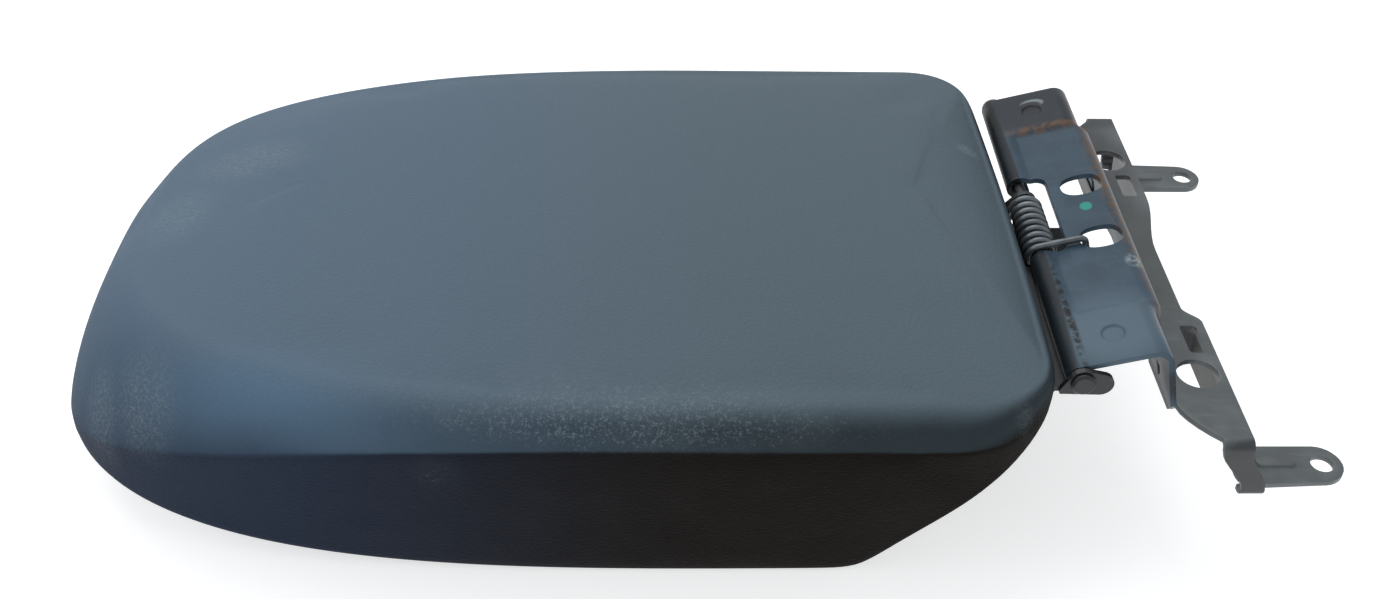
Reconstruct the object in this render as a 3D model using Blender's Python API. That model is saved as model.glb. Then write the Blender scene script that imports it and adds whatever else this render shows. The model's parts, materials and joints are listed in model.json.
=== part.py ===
"""Padded armrest lid of a car's centre console, with its sprung rear hinge and mounting bracket.

Metres, +Z up. The lid's nose points along -X, the hinge is at +X, and the origin is on the
surface that the lid rests on, below the middle of the whole part.
"""

import math

import bmesh
import bpy
import numpy as np
from mathutils import Matrix, Vector

# Driving dimensions of the lid
LID_LENGTH = 0.3115
LID_HALF_WIDTH = 0.100
EDGE_HEIGHT = 0.0770
CROWN = 0.0103
NOSE_SEMI_LENGTH = 0.2250
NOSE_POWER = 2.95
NOSE_INSET = 0.0318
NOSE_SHOULDER_POWER = 1.62
NOSE_RISE = 0.0231
SIDE_INSET = 0.0122
SIDE_DROP = 0.0130
SIDE_DRAFT = 0.0129
REAR_INSET = 0.0050
REAR_DROP = 0.0117
REAR_CORNER = 0.0313
REAR_CORNER_SHRINK = 1.0
SIDE_STRAIGHT = 0.004
RIM_LEAST_SHARE = 0.15
CROWN_FRONT_DISTANCE = 0.055
CROWN_REAR_DISTANCE = 0.024
SLANT_HEIGHT = 0.070
SLANT_RUN = 0.0545

# Walls of the lid's layers
COVER_WALL = 0.0015
COVER_LIP = 0.010
FOAM_SIDE = 0.0075
FOAM_TOP = 0.0105
FOAM_REAR = 0.0120
BASE_WALL = 0.0025
PANEL_WALL = 0.0025
LAYER_GAP = 0.0005
PANEL_EDGE_GAP = 0.0005
PANEL_LEDGE = 0.0012
PANEL_REAR_GAP = 0.006

# Fasteners of the lid
PANEL_SCREW_RADIUS = 0.0016
PANEL_SCREW_HEAD = 0.0035
PANEL_SCREW_HEAD_HEIGHT = 0.0012
PANEL_SCREW_LENGTH = 0.012
PANEL_BOSS_RADIUS = 0.0045
PANEL_SCREW_EDGE = 0.045
PANEL_SCREW_STATIONS = (0.078, 0.145, 0.205)
PANEL_SEAT_GAP = 0.0005
LEAF_SCREW_RADIUS = 0.0022
LEAF_SCREW_HEAD = 0.0046
LEAF_SCREW_HEAD_HEIGHT = 0.0022
LEAF_SCREW_LENGTH = 0.012
LEAF_BOSS_RADIUS = 0.0055
LEAF_BOSS_DEPTH = 0.010
LEAF_SCREW_SHARES = (-0.7, -0.24, 0.24, 0.7)
SCREW_CLEARANCE = 0.0003
BUFFER_RADIUS = 0.0055
BUFFER_HEIGHT = 0.0014
BUFFER_STEM_RADIUS = 0.0025
BUFFER_STEM_LENGTH = 0.0020
BUFFER_EDGE = 0.036
BUFFER_STATIONS = (0.100, 0.185)

# Hinge
PIN_BEHIND = 0.0070
PIN_HEIGHT = 0.0700
PIN_RADIUS = 0.0020
PIN_CLEARANCE = 0.0003
PIN_GROOVE_RADIUS = 0.0014
PIN_TIP = 0.0012
PIN_HEAD_RADIUS = 0.0036
PIN_HEAD_HEIGHT = 0.0013
CLIP_RADIUS = 0.0038
CLIP_WALL = 0.0009
CLIP_GAP = 0.0003
CLIP_MOUTH = math.radians(50.0)
SHEET = 0.0018
PLATE_HALF_LENGTH = 0.0740
PLATE_TILT = math.radians(15.0)
PLATE_REACH = 0.0215
PLATE_BEND_RADIUS = 0.0045
PLATE_RECESS = 0.0015
PLATE_RECESS_START = 0.0015
PLATE_RECESS_END = 0.0045
PLATE_MIDDLE_HALF = 0.0480
PLATE_STEP_RUN = 0.0030
PLATE_MIDDLE_EXTRA = 0.0025
WEB_LEAN = math.radians(14.0)
ROLL_END = math.radians(345.0)
PLATE_HOLE_REACH = 0.0190
PLATE_HOLE_PLACE = 0.0145
PLATE_HOLE_LENGTH = 0.0140
PLATE_HOLE_WIDTH = 0.0110
DIMPLE_REACH = 0.0123
DIMPLE_PLACE = 0.0620
DIMPLE_RADIUS = 0.0035
DIMPLE_DEPTH = 0.0006
SLOT_NEAR = -0.0180
SLOT_FAR = 0.0230
SLOT_REACH = 0.0090
SLOT_CORNER = 0.0040
SLOT_FRONT_CLEARANCE = 0.0035
CUT_DEPTH = 0.030

# Lid-side leaf
LEAF_EAR_GAP = 0.0006
LEAF_FACE_GAP = 0.0003
LEAF_TOP = 0.006
LEAF_BOTTOM = 0.044
LEAF_CORNER = 0.004
EAR_RADIUS = 0.0043
EAR_STOP_REACH = 0.0055
EAR_STOP_DROP = 0.0008
EAR_STOP_RADIUS = 0.0038
EAR_NECK_REACH = 0.0062
EAR_NECK_LENGTH = 0.007
EAR_COIL_GAP = 0.0012
EAR_SINK = 0.0004
EAR_TRIM = 0.00005
SHELF_DROP = 0.0025
SHELF_TURNING_GAP = 0.0005
SHELF_COIL_GAP = 0.0008
SHELF_LEG_GAP = 0.0010
SHELF_ROOT = 0.0025

# Torsion spring
WIRE_RADIUS = 0.0011
COIL_RADIUS = 0.0044
COIL_WHOLE_TURNS = 8
COIL_NEAR = -0.0160
COIL_FAR = 0.0112
COIL_LEAVE = math.radians(158.0)
SPRING_HOOK_DROP = 0.0050
SPRING_HOOK_GAP = 0.0012
SPRING_HOOK_BEND = 0.0018
SPRING_TAIL_BEND = 0.0025
SPRING_TAIL_LENGTH = 0.010
SPRING_TAIL_GAP = 0.0005

# Mounting bracket
BRACKET_HEIGHT = 0.0580
ARM_FRONT = 0.0380
ARM_REAR = 0.0570
WAIST_FRONT = 0.0400
WAIST_REAR = 0.0520
NEAR_WAIST_END = 0.0270
NEAR_ARM_START = 0.0340
FAR_WAIST_END = 0.0040
FAR_ARM_START = 0.0350
ARM_TAPER = 0.0150
ARM_HALF_SPAN = 0.0900
ARM_END_FRONT = 0.0480
FLANGE_END_FRONT = 0.0570
FLANGE_END_REAR = 0.0640
BRACKET_BEND_RADIUS = 0.0022
FOOT_HEIGHT = 0.0380
FOOT_TIP = 0.0923
FOOT_SET_IN = 0.0050
FOOT_WIDTH = 0.0150
BOLT_TIP_DISTANCE = 0.0063
BOLT_HOLE_RADIUS = 0.0035
ARM_HOLE_PLACE = 0.0588
ARM_HOLE_REACH = 0.0485
ARM_HOLE_RADIUS = 0.0065
ARM_SLOT_PLACE = 0.0425
ARM_SLOT_REACH = 0.0515
ARM_SLOT_LENGTH = 0.0130
ARM_SLOT_WIDTH = 0.0052
ARM_SLOT_CORNER = 0.0012
ARM_LIP_DEPTH = 0.0050
ARM_LIP_SET_IN = 0.0060
ARM_LIP_SLOPE = 0.0055
ARM_LIP_TRIM = 0.0001
REAR_LIP_DEPTH = 0.0125
REAR_LIP_SET_IN = 0.0020
REAR_LIP_SLOPE = 0.0030
WEB_SEAT_GAP = 0.0003

# Mesh fineness
NOSE_STEPS = 24
SIDE_STEPS = 2
CORNER_STEPS = 5
WALL_STEPS = 3
SHOULDER_STEPS = 7
CORE_SHOULDER_STEPS = 4
CAP_SHARES = (0.75, 0.5, 0.25)
ROUND_SEGMENTS = 20
SMALL_SEGMENTS = 12
WIRE_SIDES = 6
COIL_STEPS = 12
BEND_STEPS = 4
ROLL_STEPS = 12

# Places worked out from the sizes above
REAR_X = (LID_LENGTH - FOOT_TIP) / 2
NOSE_X = REAR_X - LID_LENGTH
NOSE_START = NOSE_X + NOSE_SEMI_LENGTH
SLANT_SLOPE = SLANT_HEIGHT / SLANT_RUN
SLANT_LENGTH = math.hypot(SLANT_HEIGHT, SLANT_RUN)
SLANT_DOWN = Vector((-SLANT_RUN, 0.0, -SLANT_HEIGHT)) / SLANT_LENGTH
SLANT_OUT = Vector((SLANT_HEIGHT, 0.0, -SLANT_RUN)) / SLANT_LENGTH
SLANT_TOP = Vector((REAR_X, 0.0, SLANT_HEIGHT))
PIN_X = REAR_X + PIN_BEHIND
PIN_AXIS = Vector((PIN_X, 0.0, PIN_HEIGHT))
ROLL_RADIUS = PIN_RADIUS + PIN_CLEARANCE + SHEET / 2
ROLL_OUTER = ROLL_RADIUS + SHEET / 2
PLATE_ALONG = Vector((math.cos(PLATE_TILT), 0.0, math.sin(PLATE_TILT)))
PLATE_UP = Vector((-math.sin(PLATE_TILT), 0.0, math.cos(PLATE_TILT)))
EAR_INNER = PLATE_HALF_LENGTH + LEAF_EAR_GAP
EAR_OUTER = EAR_INNER + SHEET
FOAM_INSET = COVER_WALL + LAYER_GAP
BASE_INSET = FOAM_INSET + FOAM_SIDE + LAYER_GAP
BASE_DROP = FOAM_INSET + FOAM_TOP + LAYER_GAP
BASE_REAR = FOAM_INSET + FOAM_REAR + LAYER_GAP
BASE_LIFT = COVER_WALL + LAYER_GAP
MOUTH_INSET = BASE_INSET + BASE_WALL + PANEL_LEDGE
PANEL_TOP = BASE_LIFT + PANEL_WALL
PANEL_SCREW_SPREAD = LID_HALF_WIDTH - PANEL_SCREW_EDGE
BUFFER_SPREAD = LID_HALF_WIDTH - BUFFER_EDGE
LEAF_SCREW_PLACES = tuple(share * PLATE_HALF_LENGTH for share in LEAF_SCREW_SHARES)
FOOT_OUTER = ARM_HALF_SPAN - FOOT_SET_IN
FOOT_INNER = FOOT_OUTER - FOOT_WIDTH
BOLT_PLACE = (FOOT_OUTER + FOOT_INNER) / 2
BOLT_REACH = FOOT_TIP - BOLT_TIP_DISTANCE

FINISHES = {
    "leatherette": ((0.115, 0.150, 0.185), 0.62, 0.0),
    "foam": ((0.62, 0.58, 0.45), 0.95, 0.0),
    "black_plastic": ((0.030, 0.031, 0.033), 0.55, 0.0),
    "rubber": ((0.020, 0.020, 0.020), 0.85, 0.0),
    "black_steel": ((0.070, 0.085, 0.100), 0.38, 0.6),
    "spring_steel": ((0.110, 0.125, 0.140), 0.32, 0.9),
    "screw_steel": ((0.30, 0.30, 0.29), 0.40, 0.9),
}


def clear_scene():
    for old in list(bpy.data.objects):
        bpy.data.objects.remove(old, do_unlink=True)


def finish_named(name):
    material = bpy.data.materials.get(name)
    if material is None:
        colour, roughness, metallic = FINISHES[name]
        material = bpy.data.materials.new(name)
        material.use_nodes = True
        shader = material.node_tree.nodes["Principled BSDF"]
        shader.inputs["Base Color"].default_value = (*colour, 1.0)
        shader.inputs["Roughness"].default_value = roughness
        shader.inputs["Metallic"].default_value = metallic
    return material


def add_object(name, bm, finish, parent=None, smooth_angle=35.0):
    """Makes one sub-part from a bmesh, shaded smooth up to the angle given."""
    bmesh.ops.recalc_face_normals(bm, faces=bm.faces)
    mesh = bpy.data.meshes.new(name)
    bm.to_mesh(mesh)
    bm.free()
    mesh.shade_smooth()
    mesh.set_sharp_from_angle(angle=math.radians(smooth_angle))
    mesh.materials.append(finish_named(finish))
    obj = bpy.data.objects.new(name, mesh)
    bpy.context.scene.collection.objects.link(obj)
    if parent is not None:
        obj.parent = parent
        obj.matrix_parent_inverse = Matrix.Translation(-parent.location)
    return obj


def add_empty(name, location):
    empty = bpy.data.objects.new(name, None)
    empty.empty_display_size = 0.03
    empty.location = location
    bpy.context.scene.collection.objects.link(empty)
    return empty


def add_tool(name, bm):
    """A cutting or joining shape, hidden and drawn as wire."""
    obj = add_object(name, bm, "black_steel")
    obj.hide_render = True
    obj.display_type = "WIRE"
    return obj


def combine(obj, shape, operation="DIFFERENCE"):
    modifier = obj.modifiers.new(shape.name, "BOOLEAN")
    modifier.operation = operation
    modifier.solver = "EXACT"
    modifier.object = shape


# General shapes


def loft(rings):
    """A closed body through rings of equal count, whose end rings lie on a line or close up."""
    bm = bmesh.new()
    rows = [[bm.verts.new(point) for point in ring] for ring in rings]
    count = len(rows[0])
    for below, above in zip(rows, rows[1:]):
        for i in range(count):
            j = (i + 1) % count
            bm.faces.new((below[i], below[j], above[j], above[i]))
    bmesh.ops.remove_doubles(bm, verts=bm.verts, dist=2e-6)
    return bm


def turned(profile, segments=ROUND_SEGMENTS):
    """A round body about Z from (radius, height) pairs that start and end on the axis."""
    angles = [2 * math.pi * i / segments for i in range(segments)]
    return loft([[(r * math.cos(a), r * math.sin(a), z) for a in angles] for r, z in profile])


def rod(radius, low, high, segments=ROUND_SEGMENTS):
    """A cylinder along Z between two heights."""
    return turned([(0.0, low), (radius, low), (radius, high), (0.0, high)], segments)


def prism(outline, low, high):
    """An outline in XY, extruded along Z."""
    bm = bmesh.new()
    face = bm.faces.new([bm.verts.new((x, y, low)) for x, y in outline])
    grown = bmesh.ops.extrude_face_region(bm, geom=[face])
    moved = [item for item in grown["geom"] if isinstance(item, bmesh.types.BMVert)]
    bmesh.ops.translate(bm, verts=moved, vec=(0.0, 0.0, high - low))
    return bm


def placed(bm, matrix):
    bmesh.ops.transform(bm, matrix=matrix, verts=bm.verts)
    return bm


def together(shapes):
    """Several separate shapes as one mesh."""
    joined = bmesh.new()
    for shape in shapes:
        mesh = bpy.data.meshes.new("piece")
        shape.to_mesh(mesh)
        shape.free()
        joined.from_mesh(mesh)
        bpy.data.meshes.remove(mesh)
    return joined


def arc(centre, radius, start, end, steps):
    """Points of an arc from one angle to another."""
    angles = np.linspace(start, end, steps + 1)
    return [(centre[0] + radius * math.cos(a), centre[1] + radius * math.sin(a)) for a in angles]


def rounded_rectangle(centre, half_x, half_y, corner, steps=3):
    """The outline of a rectangle with round corners."""
    outline = []
    for quarter, (sx, sy) in enumerate(((1, 1), (-1, 1), (-1, -1), (1, -1))):
        middle = (centre[0] + sx * (half_x - corner), centre[1] + sy * (half_y - corner))
        outline += arc(middle, corner, quarter * math.pi / 2, (quarter + 1) * math.pi / 2, steps)
    return outline


def hull(points):
    """The convex outline round points of a plane."""
    ordered = sorted(points)

    def half(sequence):
        chain = []
        for point in sequence:
            while len(chain) > 1:
                (ax, ay), (bx, by) = chain[-2], chain[-1]
                if (bx - ax) * (point[1] - ay) - (by - ay) * (point[0] - ax) > 1e-12:
                    break
                chain.pop()
            chain.append(point)
        return chain[:-1]

    return half(ordered) + half(ordered[::-1])


def path_normals(points):
    """Unit normals of a path in a plane, to the left of its direction."""
    path = np.asarray(points, float)
    steps = np.diff(path, axis=0)
    steps /= np.linalg.norm(steps, axis=1)[:, None]
    bisected = np.vstack([steps[:1], steps[:-1] + steps[1:], steps[-1:]])
    bisected /= np.linalg.norm(bisected, axis=1)[:, None]
    cosines = np.einsum("ij,ij->i", bisected, np.vstack([steps[:1], steps]))
    return np.stack([-bisected[:, 1], bisected[:, 0]], 1) / cosines[:, None]


def folded_sheet(centres, normals, thickness):
    """A closed sheet about a grid of centre points, [row][column], with an offset at each."""
    bm = bmesh.new()
    rows, columns = len(centres), len(centres[0])
    sides = []
    for share in (0.5 * thickness, -0.5 * thickness):
        side = []
        for i in range(rows):
            side.append([bm.verts.new(centres[i][j] + normals[i][j] * share) for j in range(columns)])
        sides.append(side)
    front, back = sides
    for side in sides:
        for i in range(rows - 1):
            for j in range(columns - 1):
                bm.faces.new((side[i][j], side[i + 1][j], side[i + 1][j + 1], side[i][j + 1]))
    for i in range(rows - 1):
        for j in (0, columns - 1):
            bm.faces.new((front[i][j], front[i + 1][j], back[i + 1][j], back[i][j]))
    for j in range(columns - 1):
        for i in (0, rows - 1):
            bm.faces.new((front[i][j], front[i][j + 1], back[i][j + 1], back[i][j]))
    return bm


def ramp(value, start, end):
    """0 before the start, 1 after the end, and a straight ramp between."""
    return min(1.0, max(0.0, (value - start) / (end - start)))


# Form of the lid


def pad_floor(x, lift):
    """Height of the lid's underside at x, raised square to itself by the lift."""
    along = max(0.0, NOSE_START - x) / NOSE_SEMI_LENGTH
    flat = NOSE_RISE * along**NOSE_POWER + lift
    slant = SLANT_HEIGHT + (x - REAR_X) * SLANT_SLOPE + lift * SLANT_LENGTH / SLANT_RUN
    return max(flat, slant)


class PadForm:
    """The lid's outer form, or the same form drawn in by a wall."""

    def __init__(self, inset=0.0, drop=None, rear=None, lift=0.0, shoulder_steps=SHOULDER_STEPS):
        self.inset = inset
        self.height = EDGE_HEIGHT - (inset if drop is None else drop)
        self.rear = REAR_X - (inset if rear is None else rear)
        self.lift = lift
        self.shoulder_steps = shoulder_steps

    def kink(self):
        """Where the underside turns up into the slanted rear face."""
        rise = self.lift - self.lift * SLANT_LENGTH / SLANT_RUN - SLANT_HEIGHT
        return REAR_X + rise / SLANT_SLOPE

    def outline(self, nose_in=0.0, side_in=0.0, rear_in=0.0):
        """Points round the form, each with its share of the nose and of the rear edge."""
        half = LID_HALF_WIDTH - self.inset - side_in
        semi = NOSE_SEMI_LENGTH - self.inset - nose_in
        rear = self.rear - rear_in
        corner = REAR_CORNER - REAR_CORNER_SHRINK * (side_in + rear_in)
        corner = min(corner, 0.4 * (rear - NOSE_START))
        points = []
        for angle in np.linspace(-math.pi / 2, math.pi / 2, NOSE_STEPS + 1):
            c, s = max(math.cos(angle), 0.0), math.sin(angle)
            reach = (c**NOSE_POWER + abs(s) ** NOSE_POWER) ** (-1 / NOSE_POWER)
            nose = (reach * c) ** NOSE_POWER
            points.append((NOSE_START - semi * reach * c, half * reach * s, nose, 0.0))
        side = []
        turn_x = min(self.kink(), rear - corner - min(SIDE_STRAIGHT, 0.2 * (rear - NOSE_START)))
        stations = list(np.linspace(NOSE_START, turn_x, SIDE_STEPS + 1)[1:])
        stations.append((turn_x + rear - corner) / 2)
        for x in stations:
            side.append((float(x), half, 0.0, 0.0))
        for x, y in arc((rear - corner, half - corner), corner, math.pi / 2, 0.0, CORNER_STEPS):
            back = ((x - rear + corner) / corner) ** 2
            side.append((x, y, 0.0, back))
        points += side
        points += [(x, -y, nose, back) for x, y, nose, back in reversed(side)]
        return points

    def section(self, index):
        """The form's edge at one point of its outline, from the lower rim to the top edge."""
        x, y, nose, back = self.outline()[index]
        drop = SIDE_DROP + (self.height - NOSE_RISE - SIDE_DROP) * nose
        drop += (REAR_DROP - SIDE_DROP) * back
        belt = self.height - drop
        rim = min(pad_floor(x, self.lift), self.height - RIM_LEAST_SHARE * drop)
        power = 1.0 + (NOSE_SHOULDER_POWER - 1.0) * nose
        start = math.asin(max(0.0, (rim - belt) / drop) ** (1.0 / power))
        x, y = self.drawn_in(index, 1.0 - math.cos(start) ** power)
        points = []
        for step in range(WALL_STEPS):
            z = rim + (max(belt, rim) - rim) * step / WALL_STEPS
            points.append((x, self.drafted(y, z, belt, nose, back), z))
        for step in range(self.shoulder_steps + 1):
            angle = start + (math.pi / 2 - start) * step / self.shoulder_steps
            inner_x, inner_y = self.drawn_in(index, 1.0 - max(0.0, math.cos(angle)) ** power)
            points.append((inner_x, inner_y, belt + drop * math.sin(angle) ** power))
        return points

    def drawn_in(self, index, share):
        """One point of the outline, drawn in by a share of the shoulder."""
        return self.outline(NOSE_INSET * share, SIDE_INSET * share, REAR_INSET * share)[index][:2]

    def drafted(self, y, z, belt, nose, back):
        """The side's draft: it narrows towards the floor."""
        draft = SIDE_DRAFT * max(0.0, 1.0 - z / belt) * (1.0 - nose) * (1.0 - back)
        share = 1.0 - draft / LID_HALF_WIDTH
        return y * share

    def walls(self):
        """Rings from the lower rim up to the top edge."""
        sections = [self.section(i) for i in range(len(self.outline()))]
        return [[section[level] for section in sections] for level in range(len(sections[0]))]

    def spine(self, x):
        """The nearest place to x on the middle line that the rings close to."""
        front = NOSE_X + self.inset + NOSE_INSET + CROWN_FRONT_DISTANCE
        back = self.rear - REAR_INSET - CROWN_REAR_DISTANCE
        return min(max(x, front), back)

    def towards(self, ring, share, height):
        """A ring drawn in to a share of its size, at the height that a function of x gives."""
        drawn = []
        for x, y, _ in ring:
            middle = self.spine(x)
            new_x = middle + share * (x - middle)
            drawn.append((new_x, share * y, height(new_x)))
        return drawn

    def cap(self, ring):
        """Rings from the top edge in to the crown's middle line."""
        rings = []
        for share in (*CAP_SHARES, 0.0):
            z = self.height + CROWN * (1.0 - share * share)
            rings.append(self.towards(ring, share, lambda _, z=z: z))
        return rings

    def closed_floor(self, ring, lift):
        """Rings of the underside from its middle line out towards the rim."""
        return [self.towards(ring, share, lambda x: pad_floor(x, lift)) for share in (0.0, 0.4, 0.8)]

    def lip(self, ring, inward, lift):
        """The rim ring drawn in along the underside."""
        drawn = []
        for x, y, _ in ring:
            middle = self.spine(x)
            share = 1.0 - inward / math.hypot(x - middle, y)
            new_x = middle + share * (x - middle)
            drawn.append((new_x, share * y, pad_floor(new_x, lift)))
        return drawn

    def floor_ring(self):
        """The rim as it would lie at the floor."""
        ring = []
        for x, y, nose, back in self.outline():
            ring.append((x, self.drafted(y, 0.0, self.height, nose, back), 0.0))
        return ring

    def slab(self, low, high):
        """A slab that follows the underside between two lifts."""
        ring = self.floor_ring()
        rings = []
        for lift, shares in ((low, (0.0, 0.35, 0.7, 1.0)), (high, (1.0, 0.7, 0.35, 0.0))):
            for share in shares:
                rings.append(self.towards(ring, share, lambda x, lift=lift: pad_floor(x, 0.0) + lift))
        return loft(rings)


def slant_place(side, down, out):
    """A frame on the slanted rear face: X across, Y up the slope, Z out of the face."""
    across = SLANT_DOWN.cross(SLANT_OUT)
    turn = Matrix((across, -SLANT_DOWN, SLANT_OUT)).transposed().to_4x4()
    origin = SLANT_TOP + SLANT_DOWN * down + SLANT_OUT * out + Vector((0.0, side, 0.0))
    return Matrix.Translation(origin) @ turn


def panel_screw_spots():
    spots = []
    for back in PANEL_SCREW_STATIONS:
        for side in (-PANEL_SCREW_SPREAD, PANEL_SCREW_SPREAD):
            spots.append(Vector((REAR_X - back, side, pad_floor(REAR_X - back, 0.0))))
    return spots


def buffer_spots():
    spots = []
    for back in BUFFER_STATIONS:
        for side in (-BUFFER_SPREAD, BUFFER_SPREAD):
            spots.append(Vector((REAR_X - back, side, pad_floor(REAR_X - back, 0.0))))
    return spots


def leaf_screw_down():
    return (LEAF_TOP + LEAF_BOTTOM) / 2


def build_cover(parent):
    """The leatherette skin, turned in under the rim."""
    outer = PadForm()
    inner = PadForm(inset=COVER_WALL, lift=COVER_WALL)
    outside, inside = outer.walls(), inner.walls()
    rings = inner.cap(inside[-1])[::-1] + inside[::-1]
    rings.append(inner.lip(inside[0], COVER_LIP - COVER_WALL, COVER_WALL))
    rings.append(outer.lip(outside[0], COVER_LIP, 0.0))
    rings += outside + outer.cap(outside[-1])
    add_object("pad_cover", loft(rings), "leatherette", parent, smooth_angle=60.0)


def build_foam(parent):
    """The moulded foam between the skin and the base."""
    outer = PadForm(inset=FOAM_INSET, lift=BASE_LIFT)
    inner = PadForm(
        inset=BASE_INSET - LAYER_GAP,
        drop=BASE_DROP - LAYER_GAP,
        rear=BASE_REAR - LAYER_GAP,
        lift=BASE_LIFT,
        shoulder_steps=CORE_SHOULDER_STEPS,
    )
    outside, inside = outer.walls(), inner.walls()
    rings = inner.cap(inside[-1])[::-1] + inside[::-1] + outside + outer.cap(outside[-1])
    add_object("foam_pad", loft(rings), "foam", parent, smooth_angle=60.0)


def base_body(wall, lift):
    """The base's outer body, or its hollow where a wall is given."""
    form = PadForm(
        inset=BASE_INSET + wall,
        drop=BASE_DROP + wall,
        rear=BASE_REAR + wall,
        lift=lift,
        shoulder_steps=CORE_SHOULDER_STEPS,
    )
    walls = form.walls()
    return loft(form.closed_floor(walls[0], lift) + walls + form.cap(walls[-1]))


def build_base(parent):
    """The moulded base: outer walls, screw posts and the slanted rear wall."""
    base = add_object("lid_base", base_body(0.0, BASE_LIFT), "black_plastic", parent)
    hollow = add_tool("base_hollow", base_body(BASE_WALL, BASE_LIFT + BASE_WALL))

    posts = []
    holes = []
    for spot in panel_screw_spots():
        posts.append(placed(rod(PANEL_BOSS_RADIUS, -0.01, 0.12), Matrix.Translation(spot)))
        depth = PANEL_TOP + PANEL_SCREW_LENGTH
        bore = rod(PANEL_SCREW_RADIUS + SCREW_CLEARANCE, -0.01, depth, SMALL_SEGMENTS)
        holes.append(placed(bore, Matrix.Translation(spot)))
    for side in LEAF_SCREW_PLACES:
        place = slant_place(side, leaf_screw_down(), 0.0)
        posts.append(placed(rod(LEAF_BOSS_RADIUS, -LEAF_BOSS_DEPTH - BASE_LIFT - BASE_WALL, 0.01), place))
        bore = rod(LEAF_SCREW_RADIUS + SCREW_CLEARANCE, -LEAF_SCREW_LENGTH, 0.01, SMALL_SEGMENTS)
        holes.append(placed(bore, place))
    combine(hollow, add_tool("base_posts", together(posts)))
    combine(base, hollow)

    mouth = PadForm(inset=MOUTH_INSET, rear=SLANT_RUN + PANEL_REAR_GAP, lift=BASE_LIFT)
    combine(base, add_tool("base_mouth", mouth.slab(-0.01, PANEL_TOP + LAYER_GAP)))
    combine(base, add_tool("base_screw_holes", together(holes)))


def build_panel(parent):
    """The flat panel that closes the base below."""
    form = PadForm(
        inset=MOUTH_INSET + PANEL_EDGE_GAP,
        rear=SLANT_RUN + PANEL_REAR_GAP + PANEL_EDGE_GAP,
        lift=BASE_LIFT,
    )
    panel = add_object("lower_panel", form.slab(BASE_LIFT, PANEL_TOP), "black_plastic", parent)
    holes = []
    for spot in panel_screw_spots():
        bore = rod(PANEL_SCREW_RADIUS + SCREW_CLEARANCE, -0.01, 0.01, SMALL_SEGMENTS)
        holes.append(placed(bore, Matrix.Translation(spot)))
    for spot in buffer_spots():
        bore = rod(BUFFER_STEM_RADIUS + SCREW_CLEARANCE, -0.01, 0.01, SMALL_SEGMENTS)
        holes.append(placed(bore, Matrix.Translation(spot)))
    combine(panel, add_tool("panel_holes", together(holes)))


def screw(shank, head, head_height, length):
    """A round-headed screw along Z: the head ends at 0 and the shank rises from it."""
    return turned(
        [
            (0.0, -head_height),
            (0.62 * head, -head_height),
            (0.92 * head, -0.6 * head_height),
            (head, 0.0),
            (shank, 0.0),
            (shank, length - shank),
            (0.3 * shank, length),
            (0.0, length),
        ],
        SMALL_SEGMENTS,
    )


def build_fasteners(parent):
    """Panel screws, leaf screws and the rubber buffers."""
    for number, spot in enumerate(panel_screw_spots(), 1):
        seat = Matrix.Translation(spot + Vector((0.0, 0.0, BASE_LIFT - PANEL_SEAT_GAP)))
        shape = screw(PANEL_SCREW_RADIUS, PANEL_SCREW_HEAD, PANEL_SCREW_HEAD_HEIGHT, PANEL_SCREW_LENGTH)
        add_object(f"panel_screw_{number}", placed(shape, seat), "screw_steel", parent)
    for number, spot in enumerate(buffer_spots(), 1):
        profile = [
            (0.0, -BUFFER_HEIGHT),
            (0.8 * BUFFER_RADIUS, -BUFFER_HEIGHT),
            (BUFFER_RADIUS, -0.6 * BUFFER_HEIGHT),
            (BUFFER_RADIUS, 0.0),
            (BUFFER_STEM_RADIUS, 0.0),
            (BUFFER_STEM_RADIUS, BUFFER_STEM_LENGTH),
            (0.0, BUFFER_STEM_LENGTH),
        ]
        seat = Matrix.Translation(spot + Vector((0.0, 0.0, BASE_LIFT - PANEL_SEAT_GAP)))
        add_object(f"rubber_buffer_{number}", placed(turned(profile), seat), "rubber", parent)
    turned_in = Matrix.Rotation(math.pi, 4, "X")
    seat_out = LEAF_FACE_GAP + SHEET + SCREW_CLEARANCE
    for number, side in enumerate(LEAF_SCREW_PLACES, 1):
        place = slant_place(side, leaf_screw_down(), seat_out) @ turned_in
        shape = screw(LEAF_SCREW_RADIUS, LEAF_SCREW_HEAD, LEAF_SCREW_HEAD_HEIGHT, LEAF_SCREW_LENGTH)
        add_object(f"leaf_screw_{number}", placed(shape, place), "screw_steel", parent)


# Hinge


def slant_point(down, out):
    """A point of the side view, (X, Z), from its distances down the slope and out of the face."""
    point = SLANT_TOP + SLANT_DOWN * down + SLANT_OUT * out
    return point.x, point.z


def upright(bm):
    """Stands an XY drawing up as XZ, and takes its height along Y."""
    return placed(bm, Matrix(((1, 0, 0, 0), (0, 0, 1, 0), (0, 1, 0, 0), (0, 0, 0, 1))))


def slant_at(height, out):
    """The point of the side view, (X, Z), at a height and a distance out of the slanted face."""
    return slant_point((height - SLANT_HEIGHT - SLANT_OUT.z * out) / SLANT_DOWN.z, out)


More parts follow.
